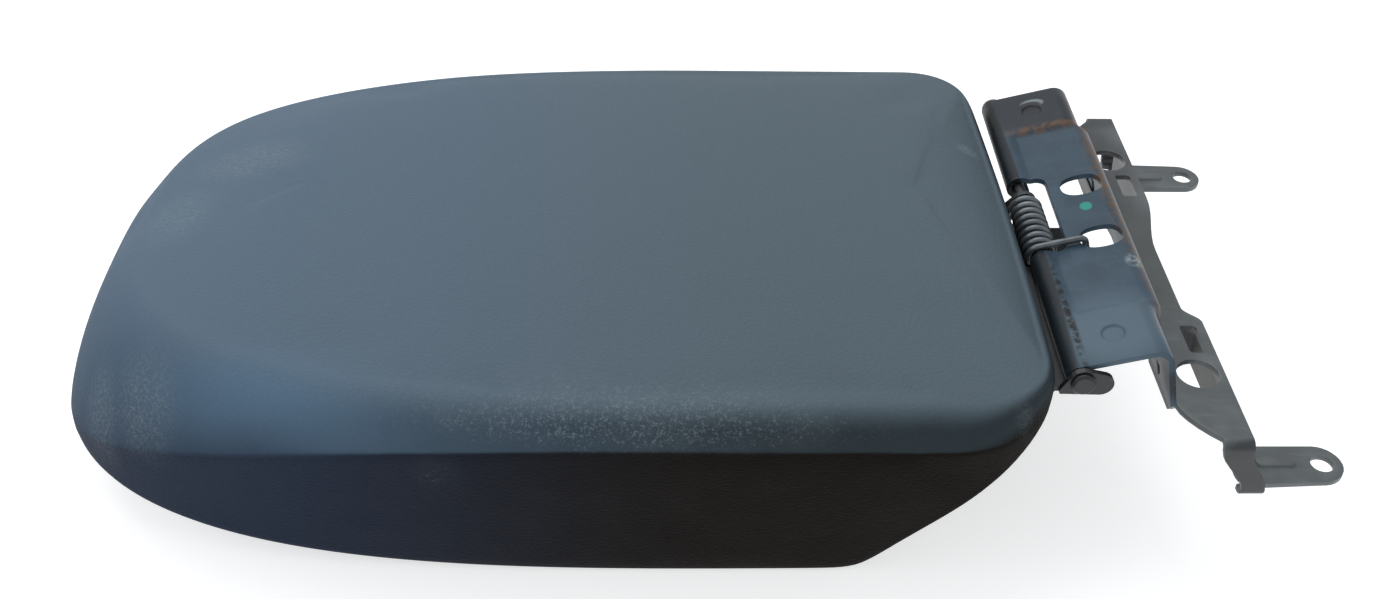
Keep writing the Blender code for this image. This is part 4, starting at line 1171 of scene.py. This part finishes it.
class Plate(HingePiece):
    """The pressed hinge plate."""

    STATIONS = (0.0006, 0.0012, 0.0018, 0.0024, 0.0030, 0.0036, 0.0042, 0.0050, 0.009, 0.014, 0.019)
    RECESS_RUN = (0.0010, 0.0044)
    STEP_SHARES = (-0.1, 0.2, 0.4, 0.6, 0.8, 1.1)
    MIDDLE_SIDES = (0.0, 0.012, 0.024, 0.036)
    END_SIDES = (0.056, 0.065)
    HOLE_PLACE = 0.019
    HOLE_SIDES = (-0.0145, 0.0145)
    HOLE_HALF = (0.0070, 0.0055)
    HOLE_POWER = 0.85
    HOLE_STEPS = 40
    SLOT_FRONT = -0.0076
    SLOT_REACH = 0.009
    SLOT_SIDE = 0.0025
    SLOT_HALF = 0.0205
    SLOT_CORNER = 0.0035
    SLOT_HEIGHTS = (-0.009, 0.014)
    DIMPLE_PLACE = 0.0123
    DIMPLE_SIDES = (-0.062, 0.062)
    DIMPLE = {"radius1": 0.0030, "radius2": 0.0042, "depth": 0.0010}
    DIMPLE_SINK = 0.0001
    NOTCHES = ((-0.0375, 0.0022), (-0.0610, 0.0016), (0.0375, 0.0022))
    NOTCH_PLACE = 0.037
    NOTCH_HALF = 0.006
    NOTCH_CORNER = 0.0008
    NOTCH_HEIGHT = 0.0065

    def path(self, side: float) -> list[Point]:
        """The sheet's middle line in the side view.

        Args:
            side: The place along the pin.

        Returns:
            X and Z of its points.
        """
        s = self.sizes
        step_start = s.middle_half - s.clearance
        middle = 1.0 - ramp(abs(side), step_start, s.middle_half + s.step_run + s.clearance)
        points = arc((s.pin.x, s.pin.z), s.roll_radius, s.roll_end, math.pi / 2 + s.plate_tilt, 22)
        reach = s.plate_reach + s.plate_extra * middle
        for station in (*self.STATIONS, reach):
            height = s.roll_radius - s.recess * middle * ramp(station, *self.RECESS_RUN)
            point = s.pin + s.along * station + s.up * height
            points.append((point.x, point.z))
        centre = s.pin + s.along * reach + s.up * (s.roll_radius - s.recess * middle - s.plate_bend)
        points += arc((centre.x, centre.z), s.plate_bend, math.pi / 2 + s.plate_tilt, s.web_lean, 10)[1:]
        x, z = points[-1]
        low = s.bracket_height + s.clearance + 0.5 * s.sheet * math.sin(s.web_lean)
        for share in (0.5, 1.0):
            height = z + (low - z) * share
            points.append((x + (z - height) * math.tan(s.web_lean), height))
        return points

    def build(self) -> bpy.types.Object:
        """Makes the plate.

        Returns:
            The finished piece.
        """
        s = self.sizes
        step = [s.middle_half + s.step_run * share for share in self.STEP_SHARES]
        half = [*self.MIDDLE_SIDES, *step, *self.END_SIDES, s.plate_half]
        sides = [-y for y in half[:0:-1]] + half
        centres, normals = [], []
        for side in sides:
            path = self.path(side)
            centres.append([Vector((x, side, z)) for x, z in path])
            normals.append([Vector((x, 0.0, z)) for x, z in path_normals(path)])
        plate = make_piece("pressed_hinge_plate", folded_sheet(centres, normals, s.sheet))
        combine(plate, self.cuts(), Operation.CUT)
        soften_edges(plate, SOFT_EDGE)
        return plate

    def cuts(self) -> list[bmesh.types.BMesh]:
        """The plate's holes, slot, notches and dimples."""
        return [*self.holes(), self.slot(), *self.dimples(), *self.notches()]

    def holes(self) -> list[bmesh.types.BMesh]:
        """The two oval holes.

        Returns:
            The cutting shapes.
        """
        s = self.sizes
        x = (s.pin + s.along * self.HOLE_PLACE).x
        half_x, half_y = self.HOLE_HALF
        shapes = []
        for side in self.HOLE_SIDES:
            outline = []
            for i in range(self.HOLE_STEPS):
                angle = 2 * math.pi * (i + 0.5) / self.HOLE_STEPS
                c, t = math.cos(angle), math.sin(angle)
                reach_x = half_x * math.cos(s.plate_tilt) * math.copysign(abs(c) ** self.HOLE_POWER, c)
                reach_y = half_y * math.copysign(abs(t) ** self.HOLE_POWER, t)
                outline.append((x + reach_x, side + reach_y))
            shapes.append(prism(outline, s.pin.z, s.pin.z + 0.03))
        return shapes

    def slot(self) -> bmesh.types.BMesh:
        """The slot for the spring, open to the front.

        Returns:
            The cutting shape.
        """
        s = self.sizes
        low_x = s.pin.x + self.SLOT_FRONT
        high_x = s.pin.x + self.SLOT_REACH * math.cos(s.plate_tilt) - s.roll_radius * math.sin(s.plate_tilt)
        centre = ((low_x + high_x) / 2, self.SLOT_SIDE)
        slot = rounded_rectangle(centre, (high_x - low_x) / 2, self.SLOT_HALF, self.SLOT_CORNER)
        rear = [point for point in slot if point[0] > centre[0]]
        rear.sort(key=lambda point: math.atan2(point[1] - centre[1], point[0] - centre[0]))
        near, far = self.SLOT_SIDE - self.SLOT_HALF, self.SLOT_SIDE + self.SLOT_HALF
        low, high = (s.pin.z + height for height in self.SLOT_HEIGHTS)
        return prism([(low_x, near), *rear, (low_x, far)], low, high)

    def dimples(self) -> list[bmesh.types.BMesh]:
        """The round dimples near the plate's ends.

        Returns:
            The cutting shapes.
        """
        s = self.sizes
        outer = s.roll_radius + s.sheet / 2
        slope = Matrix.Rotation(-s.plate_tilt, 4, "Y")
        shapes = []
        for side in self.DIMPLE_SIDES:
            spot = Matrix.Translation(s.pin + Vector((0.0, side, 0.0))) @ slope
            spot = spot @ Matrix.Translation((self.DIMPLE_PLACE, 0.0, 0.0))
            ring = bmesh.new()
            bmesh.ops.create_cone(ring, cap_ends=True, segments=36, **self.DIMPLE)
            shapes.append(placed(ring, spot @ Matrix.Translation((0.0, 0.0, outer - self.DIMPLE_SINK))))
        return shapes

    def notches(self) -> list[bmesh.types.BMesh]:
        """The notches in the web's lower edge.

        Returns:
            The cutting shapes.
        """
        shapes = []
        for side, width in self.NOTCHES:
            place = (REAR_X + self.NOTCH_PLACE, side)
            box = rounded_rectangle(place, self.NOTCH_HALF, width, self.NOTCH_CORNER, 3)
            low = self.sizes.bracket_height
            shapes.append(prism(box, low - 0.001, low + self.NOTCH_HEIGHT))
        return shapes


class Spring(HingePiece):
    """The torsion spring: hooked leg, coil and tail."""

    RADIUS = 0.0011
    COIL = 0.0044
    NEAR = -0.0160
    FAR = 0.0112
    LEAVE = math.radians(158.0)
    TURNS = 8
    TURN_STEPS = 36
    HOOK_REACH = 0.019 - 0.007 + 0.0011 + 0.0012
    HOOK_BEND = 0.0018
    HOOK_DROP = 0.0050
    HOOK_END = 0.0032
    TAIL_START = 0.006
    TAIL = (0.0012, 0.0025, 0.0060, 0.0100)
    TAIL_GAP = 0.0005
    WIRE_SIDES = 14

    def build(self) -> bpy.types.Object:
        """Makes the spring."""
        points = [*self.hook(), *self.coil(), *self.tail()]
        return make_piece("coiled_spring", wire(points, self.RADIUS, self.WIRE_SIDES), 60.0)

    def hook(self) -> list[Place]:
        """The leg that hooks into the plate's near hole, from its end to the coil.

        Returns:
            The wire's centre points.
        """
        s = self.sizes
        heights = [
            (self.HOOK_REACH, self.COIL - self.HOOK_DROP + self.HOOK_END * share)
            for share in np.linspace(0.0, 1.0, 4)
        ]
        for angle in np.linspace(0.0, math.pi / 2, 7)[1:]:
            back = self.HOOK_BEND * (1.0 - math.cos(angle))
            down = self.HOOK_BEND * (1.0 - math.sin(angle))
            heights.append((self.HOOK_REACH - back, self.COIL - down))
        for station in np.linspace(self.HOOK_REACH - self.HOOK_BEND, 0.0, 6)[1:-1]:
            heights.append((station, self.COIL))
        points = [s.pin + s.along * station + s.up * height for station, height in heights]
        return [(point.x, self.NEAR, point.z) for point in points]

    def coil(self) -> list[Place]:
        """The coil round the pin.

        Returns:
            The wire's centre points.
        """
        s = self.sizes
        start = math.pi / 2 + s.plate_tilt
        end = self.LEAVE + 2 * math.pi * self.TURNS
        steps = round((end - start) / (2 * math.pi) * self.TURN_STEPS)
        points = []
        for i in range(steps + 1):
            share = i / steps
            angle = start + (end - start) * share
            x, z = s.pin.x + self.COIL * math.cos(angle), s.pin.z + self.COIL * math.sin(angle)
            points.append((x, self.NEAR + (self.FAR - self.NEAR) * share, z))
        return points

    def tail(self) -> list[Place]:
        """The tail down the lid's slanted rear face.

        Returns:
            The wire's centre points.
        """
        s = self.sizes
        out = s.clearance + s.sheet + self.TAIL_GAP + self.RADIUS
        tail = [s.slant_point(self.TAIL_START + down, out) for down in self.TAIL]
        return [(x, self.FAR, z) for x, z in tail]


class ShadeShelf(HingePiece):
    """Near black sheets shaped as lips of the leaf, under the rolled edge and deeper under the coil, put
    there as painted shade in the gap beside the roll and in the slot.
    """

    SHEET = 0.0008
    STEPS = 16
    TROUGHS = (
        (0.0050, 213.0, 262.0, -0.0746, -0.0180, 0.0),
        (0.0065, 213.0, 270.0, -0.0175, 0.0085, 0.0140),
    )

    def build(self) -> bpy.types.Object:
        """Makes the shelf.

        Returns:
            The finished piece.
        """
        s = self.sizes
        shelf = bmesh.new()
        for radius, start, end, near, far, tongue in self.TROUGHS:
            path = arc((s.pin.x, s.pin.z), radius, math.radians(start), math.radians(end), self.STEPS)
            if tongue > 0.0:
                path.append((s.pin.x + tongue, path[-1][1]))
            offsets = [Vector((x, 0.0, z)) for x, z in path_normals(path)]
            sides = (near, (near + far) / 2, far)
            centres = [[Vector((x, side, z)) for x, z in path] for side in sides]
            trough = folded_sheet(centres, [offsets] * len(sides), self.SHEET)
            mesh = bpy.data.meshes.new("trough")
            trough.to_mesh(mesh)
            trough.free()
            shelf.from_mesh(mesh)
            bpy.data.meshes.remove(mesh)
        return make_piece("leaf_shelf", shelf)


@dataclass(frozen=True)
class Lip:
    """A turned-down edge of an arm, in metres from the lid's rear edge."""

    set_in: float
    depth: float
    slope: float
    place: float


class Bracket(HingePiece):
    """The folded mounting bracket with its two bolt feet."""

    BEND = 0.0022
    FOOT = 0.0380
    FOOT_SIDE = 0.0775
    FOOT_HALF = 0.0075
    HALF_SPAN = 0.0900
    ARM_FRONT = 0.0380
    ARM_REAR = 0.0570
    WAIST_FRONT = 0.0400
    WAIST_REAR = 0.0520
    END_FRONT = 0.0480
    DROP_FRONT = 0.0570
    DROP_REAR = 0.0640
    FOOT_REAR = 0.0655
    TAPER = 0.0150
    TAPER_POWER = 1.6
    WAIST_SHARES = (0.0, 0.35, 0.7)
    WIDENING_SHARES = (0.0, 0.12, 0.25, 0.4, 0.55, 0.7, 0.85, 1.0)
    ACROSS_SHARES = (0.0, 0.15, 0.3, 0.5, 0.7, 0.85, 1.0)
    RIB_PLACE = 0.0715
    RIB_SET_IN = 0.0003
    RIB_HALF = (0.0068, 0.0026)
    RIB_CORNER = 0.0024
    RIB_RISE = 0.0008
    RIB_SINK = 0.0005
    RIB_TOP = (0.88, 0.66)
    LIP_TRIM = 0.0001
    ARM_HOLE = (0.0485, 0.0588, 0.0065)
    BOLT_HOLE = (0.0860, 0.0775, 0.0035)
    ARM_SLOT = (0.0515, 0.0425)
    ARM_SLOT_HALF = (0.0026, 0.0065)
    ARM_SLOT_CORNER = 0.0012
    ENDS = ((-1, 0.0270, 0.0340), (1, 0.0040, 0.0350))
    LIPS = (Lip(0.0060, 0.0050, 0.0055, 0.0381), Lip(-0.0075, 0.0125, 0.0030, 0.0552))

    def rows(self, waist_end: float, arm_start: float) -> list[tuple[float, float, float, float]]:
        """Half of the bracket, from the middle to a foot's inner edge.

        Args:
            waist_end: Where the waist starts to widen.
            arm_start: Where the arm has its full width.

        Returns:
            Y, Z, front X and rear X of each row.
        """
        s = self.sizes
        level = s.bracket_height - s.sheet / 2
        foot = self.FOOT - s.sheet / 2
        waist = (level, self.WAIST_FRONT, self.WAIST_REAR)
        rows = [(waist_end * share, *waist) for share in self.WAIST_SHARES]
        for share in self.WIDENING_SHARES:
            arm = ramp(share, 0.0, 1.0)
            front = self.WAIST_FRONT + (self.ARM_FRONT - self.WAIST_FRONT) * arm
            rear = self.WAIST_REAR + (self.ARM_REAR - self.WAIST_REAR) * arm
            rows.append((waist_end + (arm_start - waist_end) * share, level, front, rear))
        outer = self.HALF_SPAN - s.sheet / 2
        bend_start = outer - self.BEND
        taper = bend_start - self.TAPER
        for share in (0.25, 0.5, 0.75):
            rows.append((arm_start + (taper - arm_start) * share, level, self.ARM_FRONT, self.ARM_REAR))
        for share in (0.0, 0.2, 0.4, 0.6, 0.8):
            front = self.ARM_FRONT + (self.END_FRONT - self.ARM_FRONT) * share**self.TAPER_POWER
            rows.append((taper + self.TAPER * share, level, front, self.ARM_REAR))
        for y, z in arc((bend_start, level - self.BEND), self.BEND, math.pi / 2, 0.0, 7):
            rows.append((y, z, self.END_FRONT, self.ARM_REAR))
        drop = level - foot - 2 * self.BEND
        for share in (0.2, 0.4, 0.6, 0.8):
            eased = ramp(share, 0.0, 1.0)
            front = self.END_FRONT + (self.DROP_FRONT - self.END_FRONT) * eased
            rear = self.ARM_REAR + (self.DROP_REAR - self.ARM_REAR) * eased
            rows.append((outer, level - self.BEND - drop * share, front, rear))
        for y, z in arc((bend_start, foot + self.BEND), self.BEND, 0.0, -math.pi / 2, 7):
            rows.append((y, z, self.DROP_FRONT, self.DROP_REAR))
        half = self.FOOT_HALF
        rows.append(((bend_start + self.FOOT_SIDE + half) / 2, foot, self.DROP_FRONT, self.FOOT_REAR))
        for angle in np.linspace(0.06, math.pi - 0.06, 15):
            turn = math.cos(angle)
            reach = half * (1.0 - math.sin(angle))
            front = self.DROP_FRONT + 0.5 * reach + 0.0015 * (1.0 - turn)
            rows.append((self.FOOT_SIDE + half * turn, foot, front, FOOT_TIP - reach))
        return rows

    def build(self) -> bpy.types.Object:
        """Makes the bracket.

        Returns:
            The finished piece.
        """
        near, far = (self.rows(waist_end, arm_start) for _, waist_end, arm_start in self.ENDS)
        rows = [(-y, z, front, rear) for y, z, front, rear in near[:0:-1]] + far
        offsets = path_normals([(y, z) for y, z, _, _ in rows])
        centres, normals = [], []
        for (y, z, front, rear), (across, up) in zip(rows, offsets):
            line = []
            for share in self.ACROSS_SHARES:
                line.append(Vector((REAR_X + front + (rear - front) * share, y, z)))
            centres.append(line)
            normals.append([Vector((0.0, across, up))] * len(line))
        bracket = make_piece("folded_bracket", folded_sheet(centres, normals, self.sizes.sheet))
        combine(bracket, self.additions(), Operation.JOIN)
        combine(bracket, self.cuts(), Operation.CUT)
        soften_edges(bracket, SOFT_EDGE)
        return bracket

    def additions(self) -> list[bmesh.types.BMesh]:
        """The arms' turned-down lips and the feet's pressed ribs.

        Returns:
            The joined shapes.
        """
        s = self.sizes
        shapes = []
        end = self.HALF_SPAN - self.BEND - self.TAPER
        for sign, waist_end, arm_start in self.ENDS:
            for lip in self.LIPS:
                inner, top = arm_start + lip.set_in, s.bracket_height - 0.25 * s.sheet
                low = s.bracket_height - s.sheet - lip.depth
                line = []
                for y in np.linspace(inner, end, 13):
                    narrowed = (self.ARM_REAR - self.WAIST_REAR) * (1.0 - ramp(y, waist_end, arm_start))
                    line.append((REAR_X + lip.place - narrowed, float(y)))
                line += [(x + s.sheet - self.LIP_TRIM, y) for x, y in reversed(line)]
                shape = prism([(x, sign * y) for x, y in line], low, top)
                kept = 1.0 - 2.0 * lip.slope / (end - inner)
                for vertex in shape.verts:
                    if vertex.co.z < top - 0.5 * lip.depth:
                        vertex.co.y = sign * (inner + lip.slope + kept * (abs(vertex.co.y) - inner))
                shapes.append(shape)
            middle = (REAR_X + self.RIB_PLACE, sign * (self.FOOT_SIDE - self.RIB_SET_IN))
            outline = rounded_rectangle(middle, *self.RIB_HALF, self.RIB_CORNER)
            rib = prism(outline, self.FOOT - self.RIB_SINK, self.FOOT + self.RIB_RISE)
            for vertex in rib.verts:
                if vertex.co.z > self.FOOT:
                    vertex.co.x = middle[0] + (vertex.co.x - middle[0]) * self.RIB_TOP[0]
                    vertex.co.y = middle[1] + (vertex.co.y - middle[1]) * self.RIB_TOP[1]
            shapes.append(rib)
        return shapes

    def cuts(self) -> list[bmesh.types.BMesh]:
        """The arms' holes and the bolt holes.

        Returns:
            The cutting shapes.
        """
        top = self.sizes.bracket_height
        shapes = []
        for sign in (-1, 1):
            for (x, y, radius), z in ((self.ARM_HOLE, top), (self.BOLT_HOLE, self.FOOT)):
                bore, round_hole = bmesh.new(), {"radius1": radius, "radius2": radius}
                bmesh.ops.create_cone(bore, cap_ends=True, segments=40, depth=0.008, **round_hole)
                shapes.append(placed(bore, Matrix.Translation((REAR_X + x, sign * y, z))))
            middle = (REAR_X + self.ARM_SLOT[0], sign * self.ARM_SLOT[1])
            outline = rounded_rectangle(middle, *self.ARM_SLOT_HALF, self.ARM_SLOT_CORNER, 4)
            shapes.append(prism(outline, top - 0.0035, top + 0.008))
        return shapes


# Scene


class Studio:
    """Floor, light and camera."""

    FLOOR_SIZE = 6.0
    FLOOR_DROP = 0.0004
    FLOOR_COLOURS = ((0.62, 0.62, 0.615), (0.65, 0.65, 0.645))
    FLOOR_GLOW = 0.62
    SKY = (0.93, 0.97, 1.0, 1.0)
    SKY_STRENGTH = 0.70
    ANGLES = (38.91, 1.91, -1.32)
    SENSOR = 36.0
    LENS = 36.0 * 1459.78 / 1400.0
    CAMERA = (-0.11529, -0.38868, 0.35315)

    def build(self) -> None:
        """Makes all of it."""
        self.floor()
        self.lights()
        self.camera()

    def floor(self) -> None:
        """A plain pale floor."""
        bm = bmesh.new()
        bmesh.ops.create_grid(bm, x_segments=8, y_segments=8, size=self.FLOOR_SIZE)
        floor = make_piece("floor", bm)
        floor.data.transform(Matrix.Translation((0.0, 0.0, -self.FLOOR_DROP)))
        shader = Shader("pale_floor")
        cloud = shader.noise(1.5, 3.0, 0.5)
        colour = shader.blend(cloud, *self.FLOOR_COLOURS)
        material = shader.finish(colour, 0.9, Specular_IOR_Level=0.1, Emission_Strength=self.FLOOR_GLOW)
        shader.tree.nodes["Principled BSDF"].inputs["Emission Color"].default_value = (1.0, 1.0, 1.0, 1.0)
        floor.data.materials.append(material)

    def lights(self) -> None:
        """A dim sky and soft lamps."""
        world = bpy.data.worlds.new("studio")
        world.use_nodes = True
        background = world.node_tree.nodes["Background"]
        background.inputs["Color"].default_value = self.SKY
        background.inputs["Strength"].default_value = self.SKY_STRENGTH
        bpy.context.scene.world = world
        self.lamp("key", (-0.35, 0.8, 1.7), (-0.05, 0.0, 0.06), 1.8, 18.0, (0.97, 0.99, 1.0))
        self.lamp("side", (-1.5, -0.1, 0.8), (-0.1, 0.0, 0.05), 0.9, 5.0, (0.88, 0.94, 1.0))

    def lamp(
        self,
        name: str,
        place: Sequence[float],
        aim: Sequence[float],
        size: float,
        power: float,
        colour: Sequence[float],
    ) -> None:
        """Adds a square area lamp.

        Args:
            name: Its name.
            place: Where it hangs.
            aim: What it points at.
            size: Its side.
            power: Watts.
            colour: Its colour.
        """
        data = bpy.data.lights.new(name, "AREA")
        data.size = size
        data.energy = power
        data.color = colour
        lamp = bpy.data.objects.new(name, data)
        lamp.location = place
        lamp.rotation_euler = (Vector(aim) - Vector(place)).to_track_quat("-Z", "Y").to_euler()
        bpy.context.scene.collection.objects.link(lamp)

    def camera(self) -> None:
        """The camera at the photograph's angle."""
        pitch, yaw, roll = (math.radians(angle) for angle in self.ANGLES)
        level = math.cos(pitch)
        forward = Vector((math.sin(yaw) * level, math.cos(yaw) * level, -math.sin(pitch)))
        right = Vector((math.cos(yaw), -math.sin(yaw), 0.0))
        down = forward.cross(right)
        side = right * math.cos(roll) + down * math.sin(roll)
        below = down * math.cos(roll) - right * math.sin(roll)
        data = bpy.data.cameras.new("camera")
        data.sensor_width = self.SENSOR
        data.lens = self.LENS
        data.clip_start = 0.01
        camera = bpy.data.objects.new("camera", data)
        turn = Matrix((side, -below, -forward)).transposed().to_4x4()
        camera.matrix_world = Matrix.Translation(behind(*self.CAMERA)) @ turn
        bpy.context.scene.collection.objects.link(camera)
        bpy.context.scene.camera = camera


class Armrest:
    """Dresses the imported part."""

    def __init__(self, frame: dict) -> None:
        self.frame = frame
        self.sizes = HingeSizes()
        self.materials: dict[str, bpy.types.Material] = {}

    def dress(self) -> None:
        """Makes the new pieces and gives every visible node its material."""
        pad = Pad(PadShape(), Swelling()).build()
        self.add(pad, Leatherette(), Body.LID, "leatherette", "pad_cover")
        plate, bracket = Plate(self.sizes).build(), Bracket(self.sizes).build()
        self.add(plate, PLATE_STEEL, Body.BRACKET, "black_steel", "hinge_plate")
        self.add(bracket, BRACKET_STEEL, Body.BRACKET, "black_steel", "mounting_bracket")
        self.add(Spring(self.sizes).build(), SPRING_STEEL, Body.BRACKET, "spring_steel", "torsion_spring")
        self.add(ShadeShelf(self.sizes).build(), LEAF_STEEL, Body.LID, "black_steel")
        for name, node in self.frame["nodes"].items():
            for beginning, finish in KEPT_NODES:
                if name.startswith(beginning):
                    self.paint(node, finish)
                    LOG.info("%s keeps its solid, finished as %s", name, finish.name)

    def paint(self, piece: bpy.types.Object, finish: Leatherette | PaintedSteel | Plain) -> None:
        """Gives a piece the material of its finish, which is made once."""
        if finish.name not in self.materials:
            self.materials[finish.name] = finish.material()
        piece.data.materials.clear()
        piece.data.materials.append(self.materials[finish.name])

    def add(
        self,
        piece: bpy.types.Object,
        finish: Leatherette | PaintedSteel | Plain,
        body: Body,
        slot: str,
        node: str | None = None,
    ) -> None:
        """slot: The record's material slot; not used.
            node: The node it stands for, if there is one.
        """
        self.paint(piece, finish)
        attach(piece, body.value)
        if node is not None:
            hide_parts(node)
        LOG.info("%s rides on %s and stands for %s", piece.name, body.value, node or "no node")


def main() -> None:
    """Builds the scene."""
    logging.basicConfig(level=logging.INFO)
    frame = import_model()
    bpy.context.scene.view_settings.view_transform = "Standard"
    Armrest(frame).dress()
    Studio().build()


if __name__ == "__main__":
    main()
